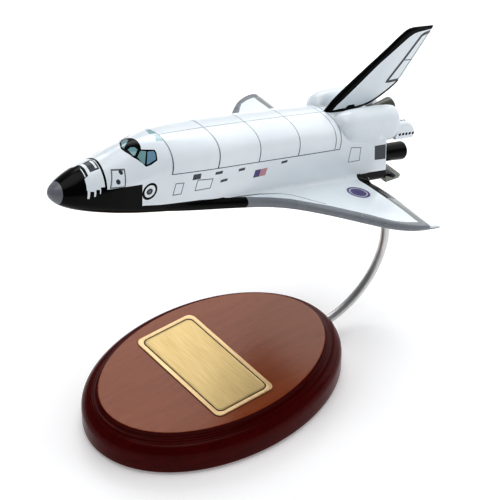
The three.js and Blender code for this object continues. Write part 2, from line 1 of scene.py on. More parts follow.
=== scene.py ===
"""Desk model of a winged space orbiter on a bent chrome rod over an oval lacquered base.

Tables are in millimetres. The orbiter's own frame is x forward, y left and z up, with its
nose-up angle and place given below; finished pieces are in metres in the frame of the solids.
"""
import math

import bmesh
import bpy
import numpy as np
from mathutils import Matrix, Vector, kdtree
from mathutils.geometry import delaunay_2d_cdt


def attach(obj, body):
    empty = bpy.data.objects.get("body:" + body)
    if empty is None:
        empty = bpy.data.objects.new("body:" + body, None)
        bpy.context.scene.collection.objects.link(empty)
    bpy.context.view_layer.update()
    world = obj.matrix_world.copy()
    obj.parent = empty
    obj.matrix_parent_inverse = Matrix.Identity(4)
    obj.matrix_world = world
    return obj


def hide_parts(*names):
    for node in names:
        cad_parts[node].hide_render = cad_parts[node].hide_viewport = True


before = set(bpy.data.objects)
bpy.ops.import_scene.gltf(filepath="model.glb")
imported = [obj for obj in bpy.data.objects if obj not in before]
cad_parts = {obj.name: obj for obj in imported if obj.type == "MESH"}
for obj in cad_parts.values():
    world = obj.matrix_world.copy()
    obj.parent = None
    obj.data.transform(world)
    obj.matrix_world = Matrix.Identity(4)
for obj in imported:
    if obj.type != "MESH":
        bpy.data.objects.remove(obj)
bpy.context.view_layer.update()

# Places and sizes of the stand
BASE_TOP_Z = 36.0
TOP_HALF_LENGTH = 111.0
TOP_HALF_WIDTH = 74.5
PLAQUE_LENGTH = 122.0
PLAQUE_WIDTH = 61.5
PLAQUE_CORNER = 6.5
PLAQUE_X = 9.5
ROD_RADIUS = 4.0
ROD_HOLE_RADIUS = 4.3
ROD_Z = 12.0
ROD_BEND_RADIUS = 73.5
ROD_BEND_X = -121.0
ROD_START_X = -96.0
ROD_TOP_ANGLE = 45.0
ROD_TOP_STRAIGHT = 92.0
BORE_LENGTH = 60.0
# Glue gap between neighbouring pieces
GAP = 0.3

# Places and sizes of the orbiter
PITCH = math.radians(17.6)
ORBITER_X = -43.4
ORBITER_Z = 249.6
REAR_FACE_X = -128.7
REAR_FACE_SLOPE = 0.344
LEAN_START_X = -104.0
HINGE_X = -104.0
TRAILING_X = -120.0
HALF_SPAN = 118.0
POD_REAR_X = -136.6
HOUSING_REAR_X = -157.8
SIDES = ((1, "left"), (-1, "right"))

MM = 0.001
# Points nearer than this are merged, and edges shorter than the second length are dropped, in metres
MERGE_DISTANCE = 2e-6
LEAST_EDGE = 1e-7


# Small helpers

def smooth_through(places, values, at):
    """A monotone cubic through a table's points, so no bulge appears between two rows."""
    x = np.asarray(places, float)
    y = np.asarray(values, float)
    if x[0] > x[-1]:
        x = x[::-1]
        y = y[::-1]
    at = np.clip(np.asarray(at, float), x[0], x[-1])
    step = np.diff(x)
    slope = np.diff(y) / step
    tangent = np.zeros_like(y)
    before = 2 * step[1:] + step[:-1]
    after = step[1:] + 2 * step[:-1]
    for k in range(1, len(y) - 1):
        if slope[k - 1] * slope[k] > 0:
            share = before[k - 1] / slope[k - 1] + after[k - 1] / slope[k]
            tangent[k] = (before[k - 1] + after[k - 1]) / share
    tangent[0] = slope[0]
    tangent[-1] = slope[-1]
    i = np.clip(np.searchsorted(x, at, side="right") - 1, 0, len(step) - 1)
    t = (at - x[i]) / step[i]
    t2 = t * t
    t3 = t2 * t
    held = (2 * t3 - 3 * t2 + 1) * y[i] + (3 * t2 - 2 * t3) * y[i + 1]
    turned = (t3 - 2 * t2 + t) * tangent[i] + (t3 - t2) * tangent[i + 1]
    return held + turned * step[i]


def orbiter_place(points):
    """Points of the orbiter's own frame in millimetres, as places in metres."""
    p = np.asarray(points, float).reshape(-1, 3)
    c = math.cos(PITCH)
    s = math.sin(PITCH)
    x = ORBITER_X + c * p[:, 0] - s * p[:, 2]
    z = ORBITER_Z + s * p[:, 0] + c * p[:, 2]
    return np.stack([x, p[:, 1], z], 1) * MM


def plain_place(points):
    return np.asarray(points, float).reshape(-1, 3) * MM


def dense(points, step, closed=True):
    """The same outline with a point at least every step."""
    made = []
    count = len(points)
    for i in range(count if closed else count - 1):
        a = np.asarray(points[i], float)
        b = np.asarray(points[(i + 1) % count], float)
        parts = max(1, int(math.ceil(np.linalg.norm(b - a) / step)))
        made.extend(a + (b - a) * k / parts for k in range(parts))
    if not closed:
        made.append(np.asarray(points[-1], float))
    return np.array(made)


def beside(points, distance, closed):
    """A line moved sideways by a distance, mitred at its corners."""
    p = np.asarray(points, float)
    count = len(p)
    moved = []
    for i in range(count):
        back = p[i] - p[i - 1] if (closed or i > 0) else p[1] - p[0]
        ahead = p[(i + 1) % count] - p[i] if (closed or i < count - 1) else back
        back = back / max(np.linalg.norm(back), 1e-9)
        ahead = ahead / max(np.linalg.norm(ahead), 1e-9)
        a = np.array([-back[1], back[0]])
        b = np.array([-ahead[1], ahead[0]])
        middle = a + b
        size = np.linalg.norm(middle)
        middle = middle / size if size > 1e-6 else a
        reach = distance / max(0.5, float(middle @ a))
        moved.append(p[i] + middle * reach)
    return np.array(moved)


def line_shape(points, width):
    """The outline of a painted line of this width."""
    left = beside(points, width / 2, False)
    right = beside(points, -width / 2, False)
    return np.concatenate([left, right[::-1]])


def round_shape(x, z, radius, count, stretch=1.0):
    """A circle, or an oval whose height is its width times stretch."""
    turn = [2 * math.pi * k / count for k in range(count)]
    return np.array([[x + radius * math.cos(a), z + stretch * radius * math.sin(a)] for a in turn])


def inside_of(shape, places):
    """True for each place that lies inside the outline."""
    low = shape.min(0)
    high = shape.max(0)
    near = np.all((places >= low) & (places <= high), axis=1)
    result = np.zeros(len(places), bool)
    rows = np.nonzero(near)[0]
    if len(rows) == 0:
        return result
    x = places[rows, 0]
    y = places[rows, 1]
    odd = np.zeros(len(rows), bool)
    count = len(shape)
    for i in range(count):
        ax, ay = shape[i]
        bx, by = shape[(i + 1) % count]
        if ay == by:
            continue
        crosses = (ay > y) != (by > y)
        odd ^= crosses & (x < ax + (y - ay) * (bx - ax) / (by - ay))
    result[rows] = odd
    return result


def far_from(points, others, distance):
    """True for each point that lies further than this from all the others."""
    tree = kdtree.KDTree(len(others))
    for i, p in enumerate(others):
        tree.insert((p[0], p[1], 0), i)
    tree.balance()
    return np.array([tree.find((p[0], p[1], 0))[2] > distance for p in points], bool)


def painted_sheet(free, shapes, clear, fixed=()):
    """Joins a flat sheet of points into triangles with every shape's outline among the edges.

    free points give way to a near outline and fixed ones stay. Returns places and triangles.
    """
    kept = free[far_from(free, np.concatenate(shapes), clear)]
    points = [Vector(p) for p in kept] + [Vector(p) for p in fixed]
    edges = []
    for shape in shapes:
        start = len(points)
        count = len(shape)
        points.extend(Vector(p) for p in shape)
        edges.extend((start + k, start + (k + 1) % count) for k in range(count))
    made = delaunay_2d_cdt(points, edges, [], 0, 1e-4)
    places = np.array([list(p) for p in made[0]])
    faces = np.array([f for f in made[2] if len(f) == 3])
    a, b, c = (places[faces[:, k]] for k in range(3))
    area = (b[:, 0] - a[:, 0]) * (c[:, 1] - a[:, 1]) - (b[:, 1] - a[:, 1]) * (c[:, 0] - a[:, 0])
    faces = faces[np.abs(area) > 1e-7]
    area = area[np.abs(area) > 1e-7]
    faces[area < 0] = faces[area < 0][:, ::-1]
    return places, faces


def cut_sheet(outline, free, shapes, clear):
    """A painted sheet trimmed to its outline, without the points that no face uses."""
    places, faces = painted_sheet(free, [outline] + shapes, clear)
    faces = faces[inside_of(outline, places[faces].mean(1))]
    used = np.unique(faces)
    renumber = np.full(len(places), -1)
    renumber[used] = np.arange(len(used))
    return places[used], renumber[faces]


def grid_inside(outline, columns, rows):
    """The points of a grid that lie inside an outline."""
    x, y = np.meshgrid(columns, rows, indexing="ij")
    grid = np.stack([x.ravel(), y.ravel()], 1)
    return grid[inside_of(outline, grid)]


def paint_of(places, faces, marks):
    """Each face's paint: the last mark that its middle lies in, or else the first paint."""
    middle = places[faces].mean(1)
    paint = np.zeros(len(faces), int)
    for number, shape in marks:
        paint[inside_of(shape, middle)] = number
    return paint


def closed_shell(faces, front, back, front_paint, back_paint, rim_paint, least):
    """Two skins with the same faces, joined along their open edges where they lie apart by more
    than the least distance. rim_paint gives the paint of the joining face on an edge."""
    count = len(front)
    all_faces = [tuple(f) for f in faces] + [tuple(f[::-1] + count) for f in faces]
    paint = list(front_paint) + list(back_paint)
    apart = np.linalg.norm(front - back, axis=1)
    edges = {(int(f[k]), int(f[(k + 1) % 3])): True for f in faces for k in range(3)}
    for a, b in edges:
        if (b, a) not in edges and apart[a] + apart[b] > least:
            all_faces.append((b, a, a + count, b + count))
            paint.append(rim_paint(a, b))
    return np.concatenate([front, back]), all_faces, paint


def loft(rings):
    """Points and faces of a tube through rings of equal length, with a fan on each end."""
    count = len(rings[0])
    points = [p for ring in rings for p in ring]
    faces = []
    for r in range(len(rings) - 1):
        for i in range(count):
            a = r * count + i
            b = r * count + (i + 1) % count
            faces.append((a, b, b + count, a + count))
    for r in (0, len(rings) - 1):
        middle = len(points)
        points.append(np.mean(np.asarray(rings[r], float), axis=0))
        for i in range(count):
            faces.append((r * count + i, r * count + (i + 1) % count, middle))
    return points, faces


def put_in_scene(name, data):
    """An object that shows this mesh, lamp or lens."""
    made = bpy.data.objects.new(name, data)
    bpy.context.scene.collection.objects.link(made)
    return made


def clean(mesh, fill=False):
    """Merges a mesh's doubles, fills its open ends if asked and turns its faces outward."""
    work = bmesh.new()
    work.from_mesh(mesh)
    bmesh.ops.remove_doubles(work, verts=work.verts, dist=MERGE_DISTANCE)
    bmesh.ops.dissolve_degenerate(work, edges=work.edges, dist=LEAST_EDGE)
    if fill:
        bmesh.ops.holes_fill(work, edges=[e for e in work.edges if e.is_boundary], sides=0)
    bmesh.ops.recalc_face_normals(work, faces=work.faces)
    work.to_mesh(mesh)
    work.free()


def smooth(mesh, sharp):
    """Smooth shading, but for edges that turn by more than this angle."""
    mesh.shade_smooth()
    mesh.set_sharp_from_angle(angle=math.radians(sharp))


def make_piece(name, points, faces, materials, sharp, paint=None):
    """A clean, smooth, painted mesh object at the origin from places in metres."""
    mesh = bpy.data.meshes.new(name)
    mesh.from_pydata([tuple(p) for p in points], [], [tuple(int(i) for i in f) for f in faces])
    for material in materials:
        mesh.materials.append(material)
    if paint is not None:
        mesh.polygons.foreach_set("material_index", np.asarray(paint, np.int32))
    clean(mesh)
    smooth(mesh, sharp)
    return put_in_scene(name, mesh)


def lofted_piece(name, rings, material, sharp, place=orbiter_place):
    """A piece of one finish through rings in millimetres."""
    points, faces = loft(rings)
    return make_piece(name, place(points), faces, [material], sharp)


def applied(piece, modifier):
    """The plain mesh that an object's modifier makes, which then comes off the object."""
    graph = bpy.context.evaluated_depsgraph_get()
    mesh = bpy.data.meshes.new_from_object(piece.evaluated_get(graph), depsgraph=graph)
    piece.modifiers.remove(modifier)
    return mesh


def carry(piece, node):
    """Puts a finished piece in place of its solid."""
    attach(piece, "root")
    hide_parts(node)


# Materials

def linear(hex_colour):
    """An sRGB hex colour as linear red, green, blue and alpha."""
    parts = [int(hex_colour[i:i + 2], 16) / 255 for i in (0, 2, 4)]
    return [p / 12.92 if p <= 0.04045 else ((p + 0.055) / 1.055) ** 2.4 for p in parts] + [1.0]


def add(tree, kind, inputs=None, **settings):
    """Adds a node with its settings, values and links."""
    made = tree.nodes.new(kind)
    for name, value in settings.items():
        setattr(made, name, value)
    for key, value in (inputs or {}).items():
        if isinstance(value, bpy.types.NodeSocket):
            tree.links.new(value, made.inputs[key])
        else:
            made.inputs[key].default_value = value
    return made


def start_material(name):
    """A material with an empty tree, and the object's own place for its patterns."""
    material = bpy.data.materials.new(name)
    material.use_nodes = True
    tree = material.node_tree
    tree.nodes.clear()
    place = add(tree, "ShaderNodeTexCoord").outputs["Object"]
    return material, tree, place


def finish_material(material, inputs):
    """Ends a material with one shader that has these inputs."""
    shader = add(material.node_tree, "ShaderNodeBsdfPrincipled", inputs)
    add(material.node_tree, "ShaderNodeOutputMaterial", {"Surface": shader.outputs["BSDF"]})
    return material


def per_mm(size):
    """A noise scale whose pattern repeats about every size in millimetres."""
    return 1000.0 / size


def wander(tree, place, size, seen, given=(0.0, 1.0), **more):
    """A value that wanders from place to place about every size in millimetres: the noise's seen
    range is spread over the given one."""
    noise = add(tree, "ShaderNodeTexNoise", {"Vector": place, "Scale": per_mm(size), **more})
    spread = add(tree, "ShaderNodeMapRange", {
        "Value": noise.outputs["Fac"], "From Min": seen[0], "From Max": seen[1],
        "To Min": given[0], "To Max": given[1]})
    return spread.outputs["Result"]


def gloss_lacquer(name, colour, shade, rough, rough_spread=0.06, coat=0.0, level=0.5):
    """Nitrocellulose lacquer sprayed and brushed over sanded wood: an even colour that drifts a
    little from place to place, a faint orange-peel skin about 1.5 mm across, and polish that
    changes slightly where it was rubbed out."""
    material, tree, place = start_material(name)
    drift = wander(tree, place, 55, (0.3, 0.7), Detail=3.0, Roughness=0.55)
    hue = add(tree, "ShaderNodeMix", {
        "Factor": drift, "A": linear(colour), "B": linear(shade)}, data_type="RGBA")
    half = rough_spread / 2
    polish = wander(tree, place, 14, (0.3, 0.7), (rough - half, rough + half), Detail=4.0)
    skin = add(tree, "ShaderNodeTexNoise", {"Vector": place, "Scale": per_mm(1.6), "Detail": 1.5})
    bump = add(tree, "ShaderNodeBump", {
        "Height": skin.outputs["Fac"], "Strength": 0.12, "Distance": 0.00006})
    return finish_material(material, {
        "Base Color": hue.outputs["Result"], "Roughness": polish, "Normal": bump.outputs["Normal"],
        "IOR": 1.5, "Specular IOR Level": level, "Coat Weight": coat, "Coat Roughness": 0.04})


white_lacquer = gloss_lacquer("white_lacquer", "e9eff3", "e1e8ed", 0.2)
black_lacquer = gloss_lacquer("black_lacquer", "040405", "080809", 0.22, level=0.2)
cap_grey = gloss_lacquer("cap_grey_lacquer", "7f8288", "75787e", 0.28)
edge_grey = gloss_lacquer("edge_grey_lacquer", "90949a", "83878d", 0.26)
slate_paint = gloss_lacquer("slate_paint", "464b52", "3c4148", 0.3)
olive_paint = gloss_lacquer("olive_grey_paint", "84887e", "767a70", 0.3)
stripe_grey = gloss_lacquer("stripe_grey_paint", "8f9391", "838785", 0.3)
soot_paint = gloss_lacquer("nozzle_black_paint", "060706", "0d0e0c", 0.27, rough_spread=0.1,
                           level=0.2)
# The upper bell is painted a lighter olive grey than the black lower ones: a painted sheen where the top
# light falls on it
sheen_grey_bell = gloss_lacquer("upper_bell_painted_sheen", "62655e", "52554f", 0.3)
belly_black = gloss_lacquer("underside_black", "0d0d0e", "141415", 0.16, coat=1.0)
window_paint = gloss_lacquer("window_teal_enamel", "86acb0", "799ea3", 0.12, coat=0.6)
window_blue = gloss_lacquer("window_blue_enamel", "7fa3b8", "7395aa", 0.12, coat=0.6)
pale_window = gloss_lacquer("pale_window_enamel", "9fc0c4", "93b5ba", 0.15, coat=0.4)
violet_paint = gloss_lacquer("violet_decal", "5f5487", "544a79", 0.3)
rose_paint = gloss_lacquer("rose_decal", "c49aa2", "b98d96", 0.3)


def pen_line(name, dark, faint):
    """Lines drawn with a ruling pen in thinned grey enamel before the last clear coat: dark low on the
    side and turning paler towards the top."""
    material, tree, place = start_material(name)
    height = add(tree, "ShaderNodeAttribute", attribute_name="rise")
    upward_fade = add(tree, "ShaderNodeMapRange", {
        "Value": height.outputs["Fac"], "From Min": 9.0, "From Max": 21.0})
    hue = add(tree, "ShaderNodeMix", {
        "Factor": upward_fade.outputs["Result"], "A": linear(dark), "B": linear(faint)},
        data_type="RGBA")
    grain = wander(tree, place, 4, (0.0, 1.0), (0.2, 0.34), Detail=3.0)
    return finish_material(material, {
        "Base Color": hue.outputs["Result"], "Roughness": grain, "IOR": 1.5})


door_line = pen_line("pen_line_doors", "4e5258", "9aa0a5")
fine_line = gloss_lacquer("pen_line_fine", "66696f", "7b7e84", 0.3)
dark_line = gloss_lacquer("pen_line_dark", "3b3e42", "4c4f54", 0.3)


def stained_wood(name, light, dark, pore_colour, level):
    """Mahogany-stained hardwood under rubbed gloss lacquer: red-brown with fine straight grain
    along its length and short dark pores."""
    material, tree, place = start_material(name)
    along = add(tree, "ShaderNodeMapping", {"Vector": place, "Scale": (0.12, 1.0, 1.0)})
    grain = along.outputs["Vector"]
    figure = wander(tree, grain, 7, (0.25, 0.75), Detail=5.0, Roughness=0.6, Distortion=0.4)
    stain = add(tree, "ShaderNodeMix", {
        "Factor": figure, "A": linear(light), "B": linear(dark)}, data_type="RGBA")
    pores = wander(tree, grain, 0.9, (0.58, 0.72), (0.0, 0.3), Detail=2.0)
    grained = add(tree, "ShaderNodeMix", {
        "Factor": pores, "A": stain.outputs["Result"], "B": linear(pore_colour)}, data_type="RGBA")
    flow = add(tree, "ShaderNodeTexNoise", {"Vector": place, "Scale": per_mm(6), "Detail": 2.0})
    polish = add(tree, "ShaderNodeMapRange", {
        "Value": flow.outputs["Fac"], "To Min": 0.2, "To Max": 0.28})
    bump = add(tree, "ShaderNodeBump", {
        "Height": flow.outputs["Fac"], "Strength": 0.08, "Distance": 0.0001})
    return finish_material(material, {
        "Base Color": grained.outputs["Result"], "Roughness": polish.outputs["Result"],
        "Normal": bump.outputs["Normal"], "IOR": 1.5, "Specular IOR Level": level})


def satin_brass(name, colour, shade, rough):
    """Rolled brass sheet, brushed lengthwise and clear-lacquered: warm, softly streaked, with a
    wide dull gleam rather than a mirror."""
    material, tree, place = start_material(name)
    along = add(tree, "ShaderNodeMapping", {"Vector": place, "Scale": (1.0, 0.03, 1.0)})
    streaks = add(tree, "ShaderNodeTexNoise", {
        "Vector": along.outputs["Vector"], "Scale": per_mm(0.8), "Detail": 4.0})
    tone = add(tree, "ShaderNodeMapRange", {
        "Value": streaks.outputs["Fac"], "From Min": 0.3, "From Max": 0.7})
    hue = add(tree, "ShaderNodeMix", {
        "Factor": tone.outputs["Result"], "A": linear(colour), "B": linear(shade)},
        data_type="RGBA")
    polish = add(tree, "ShaderNodeMapRange", {
        "Value": streaks.outputs["Fac"], "To Min": rough - 0.06, "To Max": rough + 0.06})
    bump = add(tree, "ShaderNodeBump", {
        "Height": streaks.outputs["Fac"], "Strength": 0.1, "Distance": 0.00003})
    return finish_material(material, {
        "Base Color": hue.outputs["Result"], "Metallic": 1.0,
        "Roughness": polish.outputs["Result"], "Normal": bump.outputs["Normal"]})


def chrome_plate(name):
    """Satin chromium plating on bent steel rod: it gleams softly and mirrors nothing sharply,
    and the odd patch is duller from handling."""
    material, tree, place = start_material(name)
    smear = add(tree, "ShaderNodeTexNoise", {"Vector": place, "Scale": per_mm(18), "Detail": 4.0})
    polish = add(tree, "ShaderNodeMapRange", {
        "Value": smear.outputs["Fac"], "From Min": 0.35, "From Max": 0.75,
        "To Min": 0.4, "To Max": 0.5})
    tone = add(tree, "ShaderNodeMix", {
        "Factor": smear.outputs["Fac"], "A": linear("d9d9d8"), "B": linear("cbcbca")},
        data_type="RGBA")
    return finish_material(material, {
        "Base Color": tone.outputs["Result"], "Metallic": 1.0,
        "Roughness": polish.outputs["Result"]})


def pressed_felt(name):
    """Pressed wool felt glued under the base: matt, fibrous, dark green."""
    material, tree, place = start_material(name)
    fibre = add(tree, "ShaderNodeTexNoise", {
        "Vector": place, "Scale": per_mm(0.5), "Detail": 6.0, "Roughness": 0.7})
    hue = add(tree, "ShaderNodeMix", {
        "Factor": fibre.outputs["Fac"], "A": linear("1c2e22"), "B": linear("2c4534")},
        data_type="RGBA")
    bump = add(tree, "ShaderNodeBump", {
        "Height": fibre.outputs["Fac"], "Strength": 0.5, "Distance": 0.0003})
    return finish_material(material, {
        "Base Color": hue.outputs["Result"], "Roughness": 0.95,
        "Normal": bump.outputs["Normal"], "Sheen Weight": 0.3})


# The moulded edge and side are painted a much darker red, with less gleam, than the top:
# painted shade on the side walls, so only the top is light
base_lacquer = stained_wood("mahogany_lacquer", "985531", "884828", "3f1409", 0.35)
painted_shade_lacquer = stained_wood("side_lacquer_with_painted_shade", "580602", "460401", "200201", 0.15)
plate_brass = satin_brass("satin_brass", "bdab83", "b19d74", 0.46)
rim_brass = satin_brass("rim_brass", "c6b08e", "baa280", 0.42)
border_fill = gloss_lacquer("engraved_border_fill", "2f2612", "3d3219", 0.5)
rod_plate = chrome_plate("chrome_plate")
under_felt = pressed_felt("pressed_felt")

# The fuselage

TIP_X = 202.6
TIP_Z = -15.1
# Distances along the body are taken from the square root of the way back from here, which spreads
# the blunt nose's stations
NOSE_POLE = 202.75
# The skin as a sheet: the distance between its points, and its width from the top centre line down
# each side to the bottom one
SHEET_STEP = 1.25
SHEET_WIDE = 96.0
# Sections from the nose back: station, half width, height where the flat side meets the dome,
# top, bottom, lower corner radius, and how full the dome is (2 is an ellipse)
FUSELAGE = [
    (202.6, 0.7, -15.0, -14.5, -15.7, 0.6, 2.0),
    (202.2, 2.0, -15.0, -13.4, -16.9, 1.8, 1.9),
    (201.0, 4.0, -14.9, -11.7, -19.0, 3.6, 1.85),
    (198.8, 6.4, -14.7, -9.4, -21.4, 5.6, 1.8),
    (195.0, 9.2, -14.2, -6.4, -24.0, 7.8, 1.75),
    (189.4, 12.1, -13.6, -2.7, -26.3, 9.4, 1.7),
    (182.2, 15.1, -13.0, 1.4, -28.0, 10.2, 1.7),
    (172.2, 18.1, -12.0, 5.5, -29.4, 10.2, 1.7),
    (162.0, 20.6, -10.0, 8.9, -30.4, 10.0, 1.66),
    (152.0, 22.3, -7.0, 12.5, -31.2, 9.4, 1.6),
    (144.0, 23.4, -4.3, 16.4, -31.7, 8.6, 1.55),
    (137.0, 24.0, -2.0, 19.2, -32.1, 8.0, 1.53),
    (128.0, 24.9, 0.6, 21.5, -32.5, 7.2, 1.6),
    (116.0, 26.0, 2.4, 23.3, -32.9, 6.6, 1.85),
    (104.4, 27.0, 3.2, 24.4, -33.3, 6.2, 2.15),
    (84.0, 27.8, 3.2, 25.0, -34.4, 6.0, 2.5),
    (56.0, 28.2, 3.2, 25.3, -35.5, 6.0, 2.7),
    (16.0, 28.2, 3.2, 25.2, -36.0, 6.0, 2.7),
    (-30.0, 28.2, 3.2, 24.9, -36.0, 6.0, 2.7),
    (-69.5, 28.0, 3.2, 24.2, -36.0, 6.0, 2.5),
    (-104.0, 28.0, 3.2, 23.8, -36.0, 5.0, 2.3),
    (REAR_FACE_X, 27.6, 3.2, 23.4, -35.8, 4.0, 2.3),
]
FUSELAGE_TABLE = np.array(FUSELAGE)
NOSE_ROOT = np.sqrt(NOSE_POLE - FUSELAGE_TABLE[:, 0])
DOME_POINTS = 61
CORNER_POINTS = 17
STATION_SAMPLES = 3000
# The skin is eased along its length this often, from here and fully after a further distance
EASE_PASSES = 8
EASE_START = 6
EASE_OVER = 14


def section_at(x):
    """Half width, side height, top, bottom, corner and fullness at each station."""
    root = np.sqrt(NOSE_POLE - np.asarray(x, float))
    return [smooth_through(NOSE_ROOT, FUSELAGE_TABLE[:, k], root) for k in range(1, 7)]


def half_outline(half, side, top, bottom, corner, full):
    """One section's left half from the top centre to the bottom centre, finely divided."""
    turn = np.linspace(0, math.pi / 2, DOME_POINTS)
    dome_y = half * np.sin(turn) ** (2 / full)
    dome_z = side + (top - side) * np.cos(turn) ** (2 / full)
    bend = np.linspace(0, math.pi / 2, CORNER_POINTS)
    low_y = half - corner + corner * np.cos(bend)
    low_z = bottom + corner - corner * np.sin(bend)
    return np.concatenate([dome_y, low_y, [0.0]]), np.concatenate([dome_z, low_z, [bottom]])


class BodySheet:
    """The fuselage's skin as a grid: stations from nose to tail by places round the section."""

    def __init__(self):
        root = np.linspace(math.sqrt(NOSE_POLE - TIP_X), math.sqrt(NOSE_POLE - REAR_FACE_X),
                           STATION_SAMPLES)
        x = NOSE_POLE - root ** 2
        half = section_at(x)[0]
        run = np.concatenate([[0], np.cumsum(np.hypot(np.diff(x), np.diff(half)))])
        self.long = run[-1]
        rows = int(round(self.long / SHEET_STEP)) + 1
        self.u = np.linspace(0, self.long, rows)
        self.x = np.interp(self.u, run, x)
        values = np.array(section_at(self.x))
        eased = values.copy()
        for _ in range(EASE_PASSES):
            inner = 0.25 * eased[:, :-2] + 0.5 * eased[:, 1:-1] + 0.25 * eased[:, 2:]
            eased[:, 1:-1] = inner
        share = np.clip((self.u - EASE_START) / EASE_OVER, 0, 1)
        values = values + (eased - values) * share

        self.columns = int(SHEET_WIDE / SHEET_STEP) + 1
        self.t = np.linspace(0, SHEET_WIDE, self.columns)
        self.y = np.zeros((rows, self.columns))
        self.z = np.zeros((rows, self.columns))
        for i in range(rows):
            y, z = half_outline(*values[:, i])
            length = np.concatenate([[0], np.cumsum(np.hypot(np.diff(y), np.diff(z)))])
            at = np.linspace(0, length[-1], self.columns)
            self.y[i] = np.interp(at, length, y)
            self.z[i] = np.interp(at, length, z)

    def row_at(self, x):
        u = np.interp(-x, -self.x, self.u)
        i = min(int(u / self.u[1]), len(self.u) - 2)
        f = (u - self.u[i]) / self.u[1]
        return u, (1 - f) * self.y[i] + f * self.y[i + 1], (1 - f) * self.z[i] + f * self.z[i + 1]

    def place_side(self, x, z, side):
        """Where a point seen from the side lies on the sheet."""
        if x < LEAN_START_X:
            run = (LEAN_START_X - x) / (1 - REAR_FACE_SLOPE * z / (LEAN_START_X - REAR_FACE_X))
            x = LEAN_START_X - run
        u, _, heights = self.row_at(x)
        t = np.interp(-z, -heights, self.t)
        return u, side * t

    def place_top(self, x, y):
        """Where a point seen from above lies on the sheet."""
        u, widths, _ = self.row_at(x)
        last = int(np.argmax(widths))
        t = np.interp(abs(y), widths[:last + 1], self.t[:last + 1])
        return u, math.copysign(t, y)

    def points(self, places):
        """The sheet's places as points of the orbiter's own frame."""
        u = np.clip(places[:, 0], 0, self.long)
        side = np.where(places[:, 1] < 0, -1.0, 1.0)
        t = np.clip(np.abs(places[:, 1]), 0, SHEET_WIDE)
        i = np.clip((u / self.u[1]).astype(int), 0, len(self.u) - 2)
        j = np.clip((t / self.t[1]).astype(int), 0, self.columns - 2)
        f = u / self.u[1] - i
        g = t / self.t[1] - j

        def between(grid):
            low = (1 - g) * grid[i, j] + g * grid[i, j + 1]
            high = (1 - g) * grid[i + 1, j] + g * grid[i + 1, j + 1]
            return (1 - f) * low + f * high
        y = between(self.y)
        z = between(self.z)
        x = (1 - f) * self.x[i] + f * self.x[i + 1]
        lean = np.clip((LEAN_START_X - x) / (LEAN_START_X - REAR_FACE_X), 0, 1)
        return np.stack([x + REAR_FACE_SLOPE * z * lean, side * y, z], 1)


body = BodySheet()

WHITE, BLACK, CAP, SLATE, DOOR, FINE, DARK, GLASS, BLUE, PALE, VIOLET, ROSE = range(12)
BODY_PAINTS = [white_lacquer, black_lacquer, cap_grey, slate_paint, door_line, fine_line,
               dark_line, window_paint, window_blue, pale_window, violet_paint, rose_paint]

# Distances between the points of a painted outline: the usual one, a window's, and one that leaves
# a round mark's own points
MARK_STEP = 1.2
WINDOW_STEP = 0.8
ROUND_STEP = 9
# How far the skin's own points keep from a painted outline
MARK_CLEAR = 0.35

# Edge of the black underside and nose along the side, as (x, z), with its painted teeth, closed
# round the underside
BLACK_EDGE = [
    (181.0, -6.0), (177.7, -8.0), (177.4, -14.2), (175.5, -14.2), (175.5, -8.3), (172.6, -8.3),
    (172.3, -12.3),
    (170.8, -12.3), (170.8, -6.8), (168.1, -6.8), (168.0, -9.8), (167.1, -9.8), (167.0, -4.9),
    (162.3, -4.6), (162.3, -6.5), (146.9, -4.4), (132.1, -3.4), (127.2, -23.1), (110.4, -23.9),
    (90.9, -24.0), (70.5, -24.5), (49.3, -26.1), (36.0, -28.6), (22.0, -31.0), (-103.5, -33.0),
    (-103.2, -25.8), (-118.2, -25.2), (-146.0, -25.8), (-146.0, -60.0), (181.0, -60.0),
]
CAP_X = 195.1
NOSE_BLACK_X = 178.2
# The black ring across the nose: station, half width and how far down each side it goes
SEAM_X = 163.0
SEAM_HALF_WIDTH = 0.85
SEAM_LOW_Z = -6.4
# The load bay doors: their lower line on the side, and the line along the top
DOOR_SIDE_Z = 3.2
DOOR_SIDE_LINE = [(106.4, DOOR_SIDE_Z), (-72.9, DOOR_SIDE_Z)]
DOOR_SIDE_WIDTH = 0.75
DOOR_TOP_X = (106.0, -73.5)
DOOR_TOP_HALF_WIDTH = 0.35
# Door rings: station and line width
DOOR_RINGS = [(106.0, 1.15), (60.0, 1.2), (17.0, 0.95), (-25.8, 0.85), (-66.8, 0.75), (-72.6, 0.8)]
# Marks on the nose seen from above; the painted centre line there sits a little to the left
PAINT_Y = 1.5
NOSE_MARKS = [
    (BLACK, [(180.0, 9.4), (180.0, -6.4), (174.7, -5.6), (174.7, 8.6)]),
    (WHITE, line_shape([(177.2, 0.6), (177.0, 8.4)], 0.8)),
    (SLATE, [(172.2, PAINT_Y + 5.6), (172.2, PAINT_Y - 5.6),
             (164.4, PAINT_Y - 6.2), (164.4, PAINT_Y + 6.2)]),
    (WHITE, [(167.2, PAINT_Y + 4.6), (167.2, PAINT_Y - 4.6),
             (165.5, PAINT_Y - 4.8), (165.5, PAINT_Y + 4.8)]),
]
# Two dark dots on the side behind the nose: station, height, radius
SIDE_DOTS = [(149.6, 5.3, 1.5), (153.0, -0.9, 1.7)]
# Small blocks on the side, and the large one at the tail, as four corners (x, z)
DARK_BLOCKS = [
    [(84.2, 0.6), (76.4, 0.7), (75.9, -4.2), (84.0, -4.6)],
    [(61.4, -0.1), (54.0, 0.4), (54.0, -2.3), (61.4, -2.6)],
    [(36.9, -0.4), (30.4, 0.1), (30.6, -2.4), (37.0, -2.8)],
    [(53.7, -8.3), (46.7, -7.6), (46.7, -10.0), (53.7, -10.7)],
    [(-8.7, 0.3), (-15.1, 1.0), (-15.0, -1.2), (-8.8, -1.9)],
    [(-114.4, 0.9), (-127.6, 0.9), (-132.7, -13.9), (-119.4, -13.4)],
]
